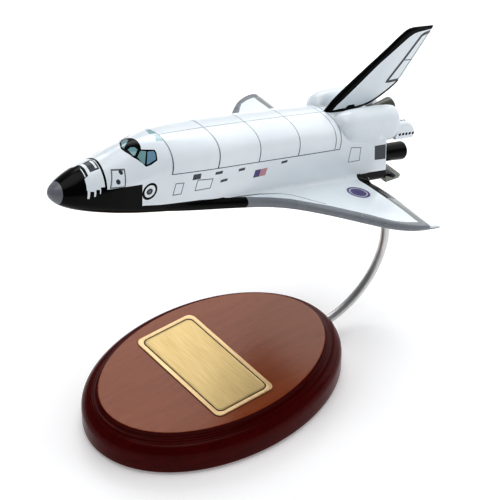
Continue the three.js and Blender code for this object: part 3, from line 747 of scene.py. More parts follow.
# Outlined panels on the side: corners (x, z) and line width
OUTLINED = [
    ([(156.2, 5.9), (146.4, 7.1), (147.8, -4.3), (159.6, -5.3)], 0.9),
    ([(99.9, -5.8), (92.0, -6.0), (92.2, -16.0), (100.1, -16.2)], 0.8),
    ([(78.3, -5.2), (62.6, -6.0), (63.2, -14.4), (78.5, -14.8)], 0.8),
    ([(-86.2, 3.0), (-97.6, 1.8), (-100.4, -11.0), (-87.4, -11.2)], 0.7),
]
# The hatch on the left, from its outer ring inward: paint, station, height, radius, points, stretch
HATCH = [
    (BLACK, 123.5, -10.4, 6.7, 36, 1.14), (WHITE, 123.4, -10.4, 4.9, 36, 1.14),
    (SLATE, 123.6, -10.6, 2.8, 28, 1.0), (CAP, 123.6, -10.6, 1.1, 16, 1.0),
]
# The plain two-tone patch on the left
PATCH = [
    (VIOLET, [(18.4, -4.2), (12.4, -3.9), (12.8, -10.9), (18.8, -11.2)]),
    (ROSE, [(12.4, -3.9), (5.4, -3.5), (5.8, -10.5), (12.8, -10.9)]),
]
# Windows as seen from above (x, y): the two front ones, then the left ones behind them
FRONT_RIGHT_WINDOW = [
    (136.4, -6.4), (140.5, 0.4), (140.2, 2.9), (135.6, -0.8), (130.9, -4.6), (130.3, -7.4),
    (131.7, -8.7)]
FRONT_LEFT_WINDOW = [
    (138.1, 4.9), (134.9, 4.0), (132.0, 5.3), (130.7, 7.9), (134.8, 11.3), (136.3, 10.7)]
MIDDLE_WINDOW = [(133.6, 12.8), (129.0, 9.7), (124.9, 11.7), (129.6, 18.8), (131.2, 17.8)]
SIDE_WINDOW = [(124.1, 12.3), (119.2, 13.5), (118.6, 15.6), (119.7, 19.2), (126.8, 19.7), (128.2, 19.3)]
# The black surround: round the front from the right to the left, then back along the left
WINDOW_RIM = [
    (132.9, -10.4), (137.2, -7.2), (141.4, -0.4), (141.9, 2.0), (140.7, 5.5), (136.8, 11.6),
    (134.4, 14.0), (129.1, 20.2), (124.7, 20.6), (118.8, 20.0), (117.6, 15.7), (118.0, 13.0),
    (123.7, 10.8), (128.2, 9.0), (127.1, 6.3), (126.6, 1.0),
]
# The row of the surround where its left side begins, which the right side mirrors
RIM_SIDE_START = 7
# The right-hand windows mirror the left ones about this distance from the centre
WINDOW_CENTRE_Y = -1.7
ROOF_WINDOWS = [
    [(109.4, -0.6), (105.9, 0.6), (106.7, 8.0), (112.6, 6.6)],
    [(108.7, -12.6), (105.7, -10.0), (106.8, -2.2), (112.0, -3.6)],
]


def body_shapes():
    """Every painted area of the fuselage as (paint, outline on the sheet)."""
    marks = []

    def band(paint, first, last, reach):
        """A band across the sheet between two distances from the nose."""
        corners = [(first, -reach), (last, -reach), (last, reach), (first, reach)]
        marks.append((paint, dense(corners, MARK_STEP)))

    def seen_from_side(paint, points, side, step=MARK_STEP):
        marks.append((paint, np.array([body.place_side(x, z, side) for x, z in dense(points, step)])))

    def seen_from_above(paint, points, step=MARK_STEP):
        marks.append((paint, np.array([body.place_top(x, y) for x, y in dense(points, step)])))

    def mirrored(points):
        return [(x, 2 * WINDOW_CENTRE_Y - y) for x, y in points]

    def back_to(x):
        return body.row_at(x)[0]

    band(BLACK, back_to(CAP_X), back_to(NOSE_BLACK_X), SHEET_WIDE)
    for side, _ in SIDES:
        seen_from_side(BLACK, BLACK_EDGE, side)
    band(CAP, 0.0, back_to(CAP_X), SHEET_WIDE)
    for paint, points in NOSE_MARKS:
        seen_from_above(paint, points)
    seam = back_to(SEAM_X)
    seam_end = body.place_side(SEAM_X, SEAM_LOW_Z, 1)[1]
    band(BLACK, seam - SEAM_HALF_WIDTH, seam + SEAM_HALF_WIDTH, seam_end)
    for side, _ in SIDES:
        for corners, width in OUTLINED:
            seen_from_side(FINE, beside(corners, -width / 2, True), side)
            seen_from_side(WHITE, beside(corners, width / 2, True), side)
        for x, z, radius in SIDE_DOTS:
            seen_from_side(DARK, round_shape(x, z, radius, 20), side, ROUND_STEP)
        for corners in DARK_BLOCKS:
            seen_from_side(SLATE, corners, side)
        seen_from_side(DOOR, line_shape(DOOR_SIDE_LINE, DOOR_SIDE_WIDTH), side)
    for station, width in DOOR_RINGS:
        ring = back_to(station)
        reach = body.place_side(station, DOOR_SIDE_Z, 1)[1]
        band(DOOR, ring - width / 2, ring + width / 2, reach)
    band(DOOR, back_to(DOOR_TOP_X[0]), back_to(DOOR_TOP_X[1]), DOOR_TOP_HALF_WIDTH)
    for paint, x, z, radius, count, stretch in HATCH:
        seen_from_side(paint, round_shape(x, z, radius, count, stretch), 1, ROUND_STEP)
    for paint, corners in PATCH:
        seen_from_side(paint, corners, 1)
    seen_from_above(BLACK, WINDOW_RIM + mirrored(WINDOW_RIM[RIM_SIDE_START:])[::-1], WINDOW_STEP)
    seen_from_above(GLASS, FRONT_RIGHT_WINDOW, WINDOW_STEP)
    seen_from_above(GLASS, FRONT_LEFT_WINDOW, WINDOW_STEP)
    for paint, window in ((GLASS, MIDDLE_WINDOW), (BLUE, SIDE_WINDOW)):
        seen_from_above(paint, window, WINDOW_STEP)
        seen_from_above(paint, mirrored(window), WINDOW_STEP)
    for window in ROOF_WINDOWS:
        seen_from_above(PALE, window, WINDOW_STEP)
    return marks


# The rear face from its edge inward, a small rounded edge, a white margin, then black: how far in
# each ring lies, and its paint
REAR_RINGS = [(0.15, WHITE), (0.5, WHITE), (2.6, WHITE), (4.5, BLACK)]


def build_fuselage():
    marks = body_shapes()
    u, t = np.meshgrid(body.u, np.concatenate([-body.t[:0:-1], body.t]), indexing="ij")
    grid = np.stack([u.ravel(), t.ravel()], 1)
    rim = (u.ravel() == 0) | (u.ravel() == body.long) | (np.abs(t.ravel()) == SHEET_WIDE)
    places, faces = painted_sheet(grid[~rim], [shape for _, shape in marks], MARK_CLEAR, grid[rim])
    places[:, 0] = np.clip(places[:, 0], 0, body.long)
    paint = list(paint_of(places, faces, marks))
    points = list(body.points(places))
    faces = [tuple(f) for f in faces]

    def rim_ring(u_value):
        on = np.nonzero(np.abs(places[:, 0] - u_value) < 1e-4)[0]
        return list(on[np.argsort(places[on, 1])])[:-1]

    def fan(ring, middle, colour):
        """Closes a ring with triangles to a point in its middle."""
        points.append(middle)
        for i, a in enumerate(ring):
            faces.append((a, ring[(i + 1) % len(ring)], len(points) - 1))
            paint.append(colour)

    fan(rim_ring(0), np.array([TIP_X, 0.0, TIP_Z]), CAP)
    ring = rim_ring(body.long)
    tail = np.array([points[i] for i in ring])
    after = np.roll(tail, -1, 0) - np.roll(tail, 1, 0)
    inward = np.stack([np.zeros(len(ring)), -after[:, 2], after[:, 1]], 1)
    inward /= np.linalg.norm(inward, axis=1)[:, None]
    if np.mean(np.einsum("ij,ij->i", inward, tail.mean(0) - tail)) < 0:
        inward = -inward
    for inset, colour in REAR_RINGS:
        start = len(points)
        for p, n in zip(tail, inward):
            q = p + n * inset
            q[0] += REAR_FACE_SLOPE * n[2] * inset
            points.append(q)
        now = list(range(start, start + len(ring)))
        for i in range(len(ring)):
            j = (i + 1) % len(ring)
            faces.append((ring[i], ring[j], now[j], now[i]))
            paint.append(colour)
        ring = now
    fan(ring, np.mean([points[i] for i in ring], axis=0), BLACK)
    piece = make_piece("fuselage_body", orbiter_place(points), faces, BODY_PAINTS, 50, paint)
    # The height in the orbiter's own frame, along which the pen lines fade
    mesh = piece.data
    c = math.cos(PITCH)
    s = math.sin(PITCH)
    height = [(v.co.z * 1000 - ORBITER_Z) * c - (v.co.x * 1000 - ORBITER_X) * s for v in mesh.vertices]
    mesh.attributes.new("rise", "FLOAT", "POINT").data.foreach_set("value", height)
    return piece


carry(build_fuselage(), "fuselage")

# The wings

WING_ROOT_Y = 21.0
# The left wing's edge in plan, from the front of the glove to the tip
WING_EDGE = np.array([
    (112, 26.2), (88, 28.6), (65, 30.5), (48, 32.1), (34, 33.9), (22, 36.0), (12, 38.4), (4, 41.2),
    (-4, 44.8), (-12, 49.4), (-20, 55.4), (-28, 62.4), (-40, 73.8), (-53, 86.4), (-64, 96.8),
    (-71, 103.0), (-78, 108.3), (-86, 112.9), (-95, 116.4), (-104, 118.0), (-112, 118.0),
    (-119, 117.8), (-120, 117.0),
], float)

# Rise of the wing's lower surface above its lowest level at each distance from the centre
LOWER_RISE = np.array([
    (33, 0.0), (50, 2.0), (62, 3.2), (75, 4.2), (90, 4.8), (100, 5.2), (108, 5.8), (113, 6.5),
    (HALF_SPAN, 7.9),
])
WING_LOWEST_Z = -36.2
TRAILING_THICK = 2.4

# The glove lifts towards the nose from this station, with the square of the distance
GLOVE_RISE_START_X = 15
GLOVE_RISE_RATE = 0.0005
# The upper surface lifts towards the tip
PANEL_RISE_START_Y = 33
UPPER_RISE = 8.1
# The panel's thickness at its root and its loss for each millimetre outward, well ahead of the
# hinge and at it
THIN_START_Y = 30
FRONT_THICK = (9, 0.055)
HINGE_THICK = (8, 0.042)
THIN_START_X = -60


def glove_rise(x):
    return GLOVE_RISE_RATE * np.maximum(0, x - GLOVE_RISE_START_X) ** 2


def wing_lower(x, y):
    return WING_LOWEST_Z + glove_rise(x) + smooth_through(LOWER_RISE[:, 0], LOWER_RISE[:, 1], y)


def wing_upper(x, y):
    out = np.maximum(0, y - THIN_START_Y)
    front = FRONT_THICK[0] - FRONT_THICK[1] * out
    hinge = HINGE_THICK[0] - HINGE_THICK[1] * out
    fall = np.clip((THIN_START_X - x) / (THIN_START_X - HINGE_X), 0, 1)
    outward = np.clip((y - PANEL_RISE_START_Y) / (HALF_SPAN - PANEL_RISE_START_Y), 0, 1)
    panel = UPPER_RISE * (1 - (1 - outward) ** 1.5)
    ahead = WING_LOWEST_Z + glove_rise(x) + panel + front + (hinge - front) * fall
    share = np.clip((HINGE_X - x) / (HINGE_X - TRAILING_X), 0, 1)
    return ahead + (wing_lower(x, y) + TRAILING_THICK - ahead) * share


def wing_thickness(x, y):
    return wing_upper(x, y) - wing_lower(x, y)


# The wing's edge: the distance between its points, and how often it is eased
EDGE_STEP = 1.1
EDGE_PASSES = 4
TIP_BACK_Y = 116.6
ROOT_STEP = 2.2


def wing_curve():
    """The edge as a fine smooth line, then along the trailing edge to the root."""
    run = np.concatenate([[0], np.cumsum(np.hypot(*np.diff(WING_EDGE, axis=0).T))])
    at = np.arange(0, run[-1], EDGE_STEP)
    x = smooth_through(run, WING_EDGE[:, 0], at)
    y = smooth_through(run, WING_EDGE[:, 1], at)
    for _ in range(EDGE_PASSES):
        for line in (x, y):
            line[1:-8] = 0.25 * line[:-9] + 0.5 * line[1:-8] + 0.25 * line[2:-7]
    back_y = np.arange(TIP_BACK_Y, WING_ROOT_Y, -EDGE_STEP)
    back = np.stack([np.full(len(back_y), TRAILING_X), back_y], 1)
    return np.concatenate([np.stack([x, y], 1), back, [[TRAILING_X, WING_ROOT_Y]]])


# The filler between wing and body: its radius at the glove and how much wider it is behind
FILLET_FRONT = 1.2
FILLET_GAIN = 2.6
FILLET_START_X = 42
FILLET_OVER = 50


def fillet_radius(x):
    return FILLET_FRONT + FILLET_GAIN * np.clip((FILLET_START_X - x) / FILLET_OVER, 0, 1)


def wing_skins(places, edge):
    """Heights of the wing's upper and lower skin over places in plan."""
    x = places[:, 0]
    y = places[:, 1]
    start = edge[:-1]
    along = edge[1:] - start
    size = (along ** 2).sum(1)
    reach = np.full(len(places), 1e9)
    near = np.zeros((len(places), 2))
    # The nearest place on the edge, a few thousand places at a time
    for k in range(0, len(places), 2000):
        part = places[k:k + 2000]
        offset = part[:, None, :] - start[None]
        share = np.clip((offset * along[None]).sum(2) / size[None], 0, 1)
        foot = start[None] + share[:, :, None] * along[None]
        gap = np.hypot(part[:, None, 0] - foot[:, :, 0], part[:, None, 1] - foot[:, :, 1])
        best = gap.argmin(1)
        rows = np.arange(len(part))
        reach[k:k + 2000] = gap[rows, best]
        near[k:k + 2000] = foot[rows, best]
    # The edge is round: half the thickness there is its radius
    depth = np.clip(1 - reach / (wing_thickness(near[:, 0], near[:, 1]) / 2), 0, 1)
    share = np.sqrt(np.clip(1 - depth ** 2, 0, 1))
    share[reach < 1e-4] = 0
    thick = wing_thickness(x, y)
    middle = wing_lower(x, y) + thick / 2
    radius = fillet_radius(x)
    inset = np.clip(1 - (y - section_at(x)[0]) / radius, 0, 1)
    filler = radius * (1 - np.sqrt(np.clip(1 - inset ** 2, 0, 1)))
    return middle + share * thick / 2 + filler, middle - share * thick / 2


W_WHITE, W_BLACK, W_GREY, W_LINE, W_STRIPE, W_VIOLET, W_BELLY = range(7)
WING_PAINTS = [white_lacquer, black_lacquer, edge_grey, fine_line, stripe_grey, violet_paint,
               belly_black]
# Inner edge of the painted leading-edge band, in plan
BAND_EDGE = [
    (130.0, 20.0), (52.0, 20.0), (49.0, 28.0), (36.0, 28.9), (24.0, 30.1), (19.3, 31.2), (2.3, 36.8),
    (-13.1, 44.3), (-24.7, 53.8), (-39.2, 65.2), (-51.3, 76.8), (-63.7, 88.2), (-72.4, 97.2),
    (-78.5, 102.8), (-88.0, 107.2), (-96.0, 109.6), (-101.0, 110.4), (-106.6, 110.9),
]
BAND_END_X = -106.6
# The band is black ahead of this station and grey behind it
BAND_SPLIT_X = 23.5
# The painted hinge stripe: its front and rear edge in plan
STRIPE_FRONT = [(-102.6, 20.0), (-102.6, 44.0), (-101.8, 58.0), (-101.3, 68.5), (-100.7, 80.0),
                (-100.0, 92.4), (-99.0, 106.4), (-99.2, 110.4)]
STRIPE_REAR = [(-107.4, 110.9), (-107.4, 105.0), (-109.2, 91.4), (-112.2, 76.7), (-115.4, 62.0),
               (-117.2, 47.0), (-119.8, 36.0), (-121.0, 30.0), (-121.0, 20.0)]
# The stripe is black inside this distance from the centre
STRIPE_SPLIT_Y = 68.0
# Outlines round the black part of the band and of the stripe
BLACK_BAND = [(140.0, 18.0), (BAND_SPLIT_X, 18.0), (BAND_SPLIT_X, 60.0), (140.0, 60.0)]
BLACK_STRIPE = [(-90.0, 18.0), (-90.0, STRIPE_SPLIT_Y), (-118.0, STRIPE_SPLIT_Y), (-118.0, 18.0)]
# Distances between the points of the painted outlines and of those round their black parts
BAND_STEP = 1.5
BLACK_STEP = 2
# The fine line where the glove's shoulder meets the panel
SHOULDER_LINE = [
    (38.0, 29.0), (24.0, 29.2), (8.0, 30.0), (-4.0, 31.8), (-12.0, 34.0), (-19.0, 38.0),
    (-24.4, 44.2), (-30.0, 52.0), (-38.0, 61.5),
]
SHOULDER_WIDTH = 0.8
# The plain disc on the left wing: its centre, and the radii of the disc and of the ring in it
DISC = (-83.6, 52.0)
DISC_RADII = (10.2, 8.0, 7.2)
# The sheet's points: their distance, and how far they keep from the denser rows at edge and filler
# and from a painted outline
WING_STEP = 1.7
DENSE_CLEAR = 0.7
WING_CLEAR = 0.25
FILLER_STEP = 1.6
# Where the hinge's crease has a point, and the least gap between the skins that gets a rim
CREASE_Y = np.linspace(22, 116, 60)
WING_LEAST_GAP = 0.0015
EDGE_TURNS = (12, 24, 36, 48, 60, 74, 90)
FILLER_TURNS = (0, 15, 30, 45, 60, 75, 90)


def wing_marks(side):
    """Painted areas in plan, then the outlines that make part of the band and stripe black."""
    band = dense(BAND_EDGE + [(BAND_END_X, 130.0), (130.0, 130.0)], BAND_STEP)
    stripe = dense(STRIPE_FRONT + STRIPE_REAR, BAND_STEP)
    black = dense(BLACK_BAND, BLACK_STEP)
    inner = dense(BLACK_STRIPE, BLACK_STEP)
    line = dense(line_shape(SHOULDER_LINE, SHOULDER_WIDTH), MARK_STEP)
    marks = [(W_LINE, line), (W_GREY, band), (W_STRIPE, stripe)]
    if side > 0:
        for paint, radius in zip((W_VIOLET, W_WHITE, W_VIOLET), DISC_RADII):
            marks.append((paint, round_shape(*DISC, radius, 44)))
    return marks, band, black, inner


def build_wing(side, label):
    edge = wing_curve()
    root = [(TRAILING_X, WING_ROOT_Y), (WING_EDGE[0, 0], WING_ROOT_Y)]
    root = dense(root, ROOT_STEP, closed=False)[1:]
    outline = np.concatenate([edge, root])
    marks, band, black, inner = wing_marks(side)
    grid = grid_inside(outline, np.arange(TRAILING_X + 1, WING_EDGE[0, 0], WING_STEP),
                       np.arange(WING_ROOT_Y + 0.8, HALF_SPAN, WING_STEP))
    run = np.gradient(edge, axis=0)
    run /= np.linalg.norm(run, axis=1)[:, None]
    outward = np.stack([run[:, 1], -run[:, 0]], 1)
    heights = wing_thickness(edge[:, 0], edge[:, 1]) / 2
    rounded = np.concatenate([
        edge - outward * (heights * (1 - math.cos(math.radians(turn))))[:, None]
        for turn in EDGE_TURNS])
    rounded = rounded[inside_of(outline, rounded)]
    stations = np.arange(TRAILING_X + 0.5, WING_EDGE[0, 0] - 2, FILLER_STEP)
    half = section_at(stations)[0]
    filler = np.concatenate([
        np.stack([stations, half + fillet_radius(stations) * (1 - math.sin(math.radians(turn)))], 1)
        for turn in FILLER_TURNS])
    filler = filler[inside_of(outline, filler)]
    away = far_from(grid, np.concatenate([rounded, filler]), DENSE_CLEAR)
    crease = np.stack([np.full(len(CREASE_Y), HINGE_X), CREASE_Y], 1)
    free = np.concatenate([grid[away], rounded, filler, crease])
    shapes = [shape for _, shape in marks] + [black, inner]
    places, faces = cut_sheet(outline, free, shapes, WING_CLEAR)
    middle = places[faces].mean(1)
    in_band = inside_of(band, middle)
    in_black = inside_of(black, middle)
    top = paint_of(places, faces, marks)
    top[in_black & in_band] = W_BLACK
    top[(top == W_STRIPE) & inside_of(inner, middle)] = W_BLACK
    low = np.where(in_band & ~in_black & (middle[:, 0] > BAND_END_X), W_GREY, W_BELLY)
    low[in_black & in_band] = W_BLACK
    upper, lower = [np.stack([places[:, 0], side * places[:, 1], height], 1)
                    for height in wing_skins(places, edge)]
    points, faces, paint = closed_shell(faces, upper, lower, top, low,
                                        lambda a, b: W_BLACK, WING_LEAST_GAP)
    return make_piece(f"wing_panel_{label}", orbiter_place(points), faces, WING_PAINTS, 45, paint)


for side, label in SIDES:
    carry(build_wing(side, label), f"wing_{label}")

# The fin

# Side view of the fin: height, front and rear edge, thickness
FIN = np.array([
    (20.0, -69.0, -110.0, 6.4), (23.6, -71.6, -113.0, 6.4), (26.0, -73.0, -121.0, 6.3),
    (29.0, -75.0, -127.8, 6.2), (34.0, -78.4, -136.4, 6.0), (40.0, -84.0, -144.8, 5.8),
    (45.6, -89.8, -150.4, 5.6), (62.0, -107.8, -158.4, 5.0), (78.0, -125.6, -166.4, 4.4),
    (90.0, -138.4, -171.6, 3.9), (94.2, -144.4, -173.2, 3.4), (95.8, -151.5, -173.4, 2.2),
])
# The fin's section: share of the chord behind the front edge, and share of the thickness
FIN_SECTION = np.array([
    (0.0, 0.0), (0.008, 0.3), (0.03, 0.58), (0.08, 0.82), (0.2, 1.0), (0.6, 1.0), (0.97, 0.36),
    (1.0, 0.24),
])
# The black leading edge, in side view, closed ahead of the fin
FIN_BAND = [
    (-70.0, 18.0), (-75.0, 22.0), (-78.8, 26.4), (-82.0, 30.4), (-87.9, 35.6), (-102.5, 49.4),
    (-111.1, 57.9), (-119.7, 66.0), (-128.7, 73.4), (-137.8, 80.8), (-142.2, 84.6), (-146.7, 88.0),
    (-151.6, 90.8), (-157.3, 92.0), (-163.5, 92.5), (-174.0, 93.0), (-174.0, 110.0),
    (-60.0, 110.0), (-60.0, 18.0),
]
F_WHITE, F_BLACK, F_DARK, F_FINE = range(4)
FIN_PAINTS = [white_lacquer, black_lacquer, dark_line, fine_line]
# Painted lines: the rudder's hinge line and foot, its inner and rear lines, and the fin's foot
FIN_LINES = [
    (F_DARK, 2.9, [(-134.6, 48.0), (-147.2, 66.2), (-160.9, 87.6), (-164.0, 89.2), (-171.6, 90.3)]),
    (F_DARK, 2.6, [(-133.0, 47.2), (-138.0, 46.8), (-148.6, 46.8)]),
    (F_FINE, 1.0, [(-147.6, 66.0), (-158.8, 64.8)]),
    (F_FINE, 0.9, [(-148.2, 46.0), (-156.2, 62.0), (-164.1, 78.0), (-170.2, 90.2)]),
    (F_BLACK, 3.2, [(-76.0, 24.2), (-84.0, 24.9), (-94.0, 25.2), (-104.8, 25.6), (-114.0, 26.4),
                    (-122.6, 28.2), (-130.4, 31.6), (-138.0, 36.6), (-145.2, 41.8), (-149.6, 45.9)]),
]
FIN_PATCH = [(-92.8, 25.0), (-93.2, 27.4), (-95.4, 29.0), (-102.4, 29.2), (-103.8, 25.6)]
FIN_BOTTOM_Z = 20.0
FIN_TOP_Z = 95.8
FIN_TIP_ROUND = 1.2
FIN_HEIGHTS = np.concatenate([
    np.arange(FIN_BOTTOM_Z, 93, 1.3), [93.2, 94.2, 94.8, 95.3, 95.6, FIN_TOP_Z]])
FIN_GRID = (np.arange(-173, -71, 1.6), np.arange(21, 95, 1.6))
FIN_LEAST_GAP = 0.02
# Distances between the points of the top edge, the foot and a painted outline, and how far the
# grid keeps from an outline
FIN_TOP_STEP = 1.3
FIN_FOOT_STEP = 1.5
FIN_MARK_STEP = 1.4
FIN_CLEAR = 0.22
# Shares of the chord that get a row of points, close together at the round front edge
FIN_ROWS = (0.004, 0.01, 0.02, 0.035, 0.055, 0.08, 0.12, 0.985)
# The rim is black below and above these heights
FIN_LOW_RIM_Z = 46
FIN_TOP_RIM_Z = 94.6


def build_fin():
    def through(column, heights):
        return smooth_through(FIN[:, 0], FIN[:, column], heights)

    front = through(1, FIN_HEIGHTS)
    rear = through(2, FIN_HEIGHTS)
    top_edge = [(front[-1], FIN_TOP_Z), (rear[-1], FIN_TOP_Z)]
    low_edge = [(rear[0], FIN_BOTTOM_Z), (front[0], FIN_BOTTOM_Z)]
    outline = np.concatenate([
        np.stack([front, FIN_HEIGHTS], 1), dense(top_edge, FIN_TOP_STEP, closed=False)[1:-1],
        np.stack([rear, FIN_HEIGHTS], 1)[::-1], dense(low_edge, FIN_FOOT_STEP, closed=False)[1:-1],
    ])
    marks = [(F_BLACK, FIN_BAND)]
    marks += [(paint, line_shape(points, width)) for paint, width, points in FIN_LINES]
    marks += [(F_BLACK, FIN_PATCH)]
    marks = [(paint, dense(shape, FIN_MARK_STEP)) for paint, shape in marks]
    rows = [np.stack([front + (rear - front) * share, FIN_HEIGHTS], 1) for share in FIN_ROWS]
    free = np.concatenate([grid_inside(outline, *FIN_GRID)] + rows)
    places, faces = cut_sheet(outline, free, [shape for _, shape in marks], FIN_CLEAR)
    paint = paint_of(places, faces, marks)
    z = np.clip(places[:, 1], FIN_BOTTOM_Z, FIN_TOP_Z)
    lead = through(1, z)
    share = np.clip((places[:, 0] - lead) / (through(2, z) - lead), 0, 1)
    wide = smooth_through(np.sqrt(FIN_SECTION[:, 0]), FIN_SECTION[:, 1], np.sqrt(share))
    tip = np.clip(1 - (FIN_TOP_Z - z) / FIN_TIP_ROUND, 0, 1)
    wide = wide * np.sqrt(np.clip(1 - tip ** 2, 0.04, 1))
    half = np.where(share < 1e-5, 0, wide * through(3, z) / 2)
    left, right = [np.stack([places[:, 0], side * half, places[:, 1]], 1) for side, _ in SIDES]

    def rim_paint(a, b):
        low, high = sorted((places[a, 1], places[b, 1]))
        return F_BLACK if low > FIN_TOP_RIM_Z or high < FIN_LOW_RIM_Z else F_FINE

    points, faces, paint = closed_shell(faces, left, right, paint, paint, rim_paint,
                                        FIN_LEAST_GAP)
    return make_piece("fin_panel", orbiter_place(points), faces, FIN_PAINTS, 40, paint)


carry(build_fin(), "fin")

# The engine pods

# The left pod from front to rear: station, centre, half width, and height above and below
POD = np.array([
    (-73.0, 15.8, 21.8, 3.4, 2.8, 2.8), (-75.2, 16.6, 19.8, 8.2, 7.8, 6.8),
    (-79.0, 17.2, 18.8, 10.4, 11.3, 9.4), (-84.4, 17.5, 18.0, 11.5, 13.8, 10.6),
    (-92.0, 17.7, 17.3, 12.0, 15.3, 11.2), (-102.0, 17.8, 16.8, 12.3, 16.2, 11.8),
    (-120.0, 17.8, 16.2, 12.3, 16.8, 13.4), (-131.0, 17.8, 15.6, 12.2, 16.7, 15.0),
    (POD_REAR_X + 1.8, 17.8, 15.4, 11.9, 16.2, 14.8), (POD_REAR_X + 0.5, 17.8, 15.4, 11.3, 15.5, 14.1),
    (POD_REAR_X, 17.8, 15.4, 10.5, 14.7, 13.3),
])
# Every ring of the pod is taken outward from this line through it, as (y, z)
POD_AXIS = (12.0, 8.0)
# The filler between pod and body: its radius low down and high up, the height of the change, how
# deep the pod's skin sinks where it ends, and the heights between which the filler fades out below
POD_FILLET = 6.0
POD_UPPER_FILLET = 2.6
POD_UPPER_Z = 21.0
POD_SUNK = -0.2
POD_FADE_Z = (3.6, 8.0)
# Lengths over which the filler widens downward and narrows towards the rear face
POD_WIDEN_OVER = 10
POD_NARROW_OVER = 9
# Behind the body's rear face, and from this distance ahead of it, the pod is its plain oval
POD_PLAIN_AHEAD = 0.5
# The pod's front end, its first ring and the distance to the next
POD_TIP_X = -72.4
POD_TIP_RADIUS = 2.8
POD_FIRST_X = -72.6
POD_STEP = 0.9
# How far ahead of its rear end each of the last rings lies
POD_REAR_RINGS = (1.8, 1.2, 0.7, 0.35, 0.1, 0.0)
POD_POINTS = 120
POD_LEAST_REACH = 0.5


def section_reach(x, turn):
    """Distance from the pod's inner axis to the body's skin at each angle of one station."""
    y, z = half_outline(*[float(v[0]) for v in section_at(np.array([max(x, REAR_FACE_X)]))])
    y = np.concatenate([y, -y[-2:0:-1]]) - POD_AXIS[0]
    z = np.concatenate([z, z[-2:0:-1]]) - POD_AXIS[1]
    angle = np.unwrap(np.arctan2(z, y))
    reach = np.hypot(y, z)
    if angle[-1] < angle[0]:
        angle = angle[::-1]
        reach = reach[::-1]
    whole = 2 * math.pi
    wrapped = angle[0] + np.mod(turn - angle[0], whole)
    return np.interp(wrapped, np.append(angle, angle[0] + whole), np.append(reach, reach[0]))


def ring_reach(cy, cz, wide, high, low, dy, dz):
    """Distance from the pod's inner axis to its own oval, whose upper and lower half differ."""
    oy = POD_AXIS[0] - cy
    oz = POD_AXIS[1] - cz
    reaches = []
    for tall in (high, low):
        a = (dy / wide) ** 2 + (dz / tall) ** 2
        b = oy * dy / wide ** 2 + oz * dz / tall ** 2
        c = (oy / wide) ** 2 + (oz / tall) ** 2 - 1
        disc = b * b - a * c
        reaches.append(-b / a + np.where(disc > 0, 1, -1) * np.sqrt(np.abs(disc)) / a)
    return np.where(POD_AXIS[1] + reaches[0] * dz > cz, reaches[0], reaches[1])


def build_pod(side, label):
    stations = np.concatenate([np.arange(POD_FIRST_X, POD_REAR_X + 2, -POD_STEP),
                               [POD_REAR_X + ahead for ahead in POD_REAR_RINGS]])
    turn = np.linspace(0, 2 * math.pi, POD_POINTS, endpoint=False)
    dy = np.cos(turn)
    dz = np.sin(turn)
    rings = []
    table = [smooth_through(POD[:, 0], POD[:, k], stations) for k in range(1, 6)]
    for x, cy, cz, wide, high, low in zip(stations, *table):
        if x > POD[0, 0]:
            wide = high = low = max(0.2, POD_TIP_RADIUS * (x - POD_TIP_X) / (POD[0, 0] - POD_TIP_X))
        out = ring_reach(cy, cz, wide, high, low, dy, dz)
        skin = section_reach(x, turn)
        ahead = x - (REAR_FACE_X + REAR_FACE_SLOPE * (POD_AXIS[1] + out * dz))
        skin_z = POD_AXIS[1] + skin * dz
        low_down = np.clip((POD_UPPER_Z - skin_z) / POD_WIDEN_OVER, 0, 1)
        ease = POD_UPPER_FILLET + (POD_FILLET - POD_UPPER_FILLET) * low_down
        ease = ease * np.clip((ahead - POD_PLAIN_AHEAD) / POD_NARROW_OVER, 0.04, 1)
        proud = out - skin
        blend = np.where(proud > ease, proud, (proud + ease) ** 2 / (4 * ease) - 0.04)
        shown = np.clip((skin_z - POD_FADE_Z[0]) / (POD_FADE_Z[1] - POD_FADE_Z[0]), 0, 1)
        shown = shown * shown * (3 - 2 * shown)
        filled = np.where(proud > 0, proud, POD_SUNK) * (1 - shown) + blend * shown
        sunk = np.maximum(proud, POD_SUNK - 0.25 * (proud + ease) ** 2)
        eased = np.where(proud > -ease, filled, sunk)
        reach = np.maximum(np.where(ahead > POD_PLAIN_AHEAD, skin + eased, out), POD_LEAST_REACH)
        rings.append(np.stack([np.full(len(turn), x), side * (POD_AXIS[0] + reach * dy),
                               POD_AXIS[1] + reach * dz], 1))
    return lofted_piece(f"engine_pod_shell_{label}", rings, white_lacquer, 60)


for side, label in SIDES:
    carry(build_pod(side, label), f"engine_pod_{label}")

# The thruster housings

HOUSING_INNER = 18.6
HOUSING_OUTER = 28.8
HOUSING_BOTTOM = 4.2
HOUSING_FRONT_X = POD_REAR_X + GAP
HOUSING_RINGS = 40
# Corner radii above and below, and the rounding of the rear end: its length and its depth
HOUSING_TOP_ROUND = 3.2
HOUSING_LOW_ROUND = 0.9
HOUSING_END_LONG = 0.9
HOUSING_END_DEEP = 0.7
# Height of the housing's top along it
HOUSING_FALL = np.array([
    (POD_REAR_X + 0.4, 19.6), (-147.0, 19.6), (-150.4, 18.9), (-153.6, 17.0), (-156.0, 14.5),
    (HOUSING_REAR_X, 11.6),
])


def rounded_ring(low_y, high_y, low_z, high_z, top_radius, low_radius, steps=9):
    """A rectangle with rounded corners, round from its lower outer corner."""
    corners = [
        (high_y - low_radius, low_z + low_radius, low_radius, -90),
        (high_y - top_radius, high_z - top_radius, top_radius, 0),
        (low_y + top_radius, high_z - top_radius, top_radius, 90),
        (low_y + low_radius, low_z + low_radius, low_radius, 180),
    ]
    ring = []
    for y, z, radius, start in corners:
        for k in range(steps):
            a = math.radians(start + 90 * k / (steps - 1))
            ring.append((y + radius * math.cos(a), z + radius * math.sin(a)))
    return ring


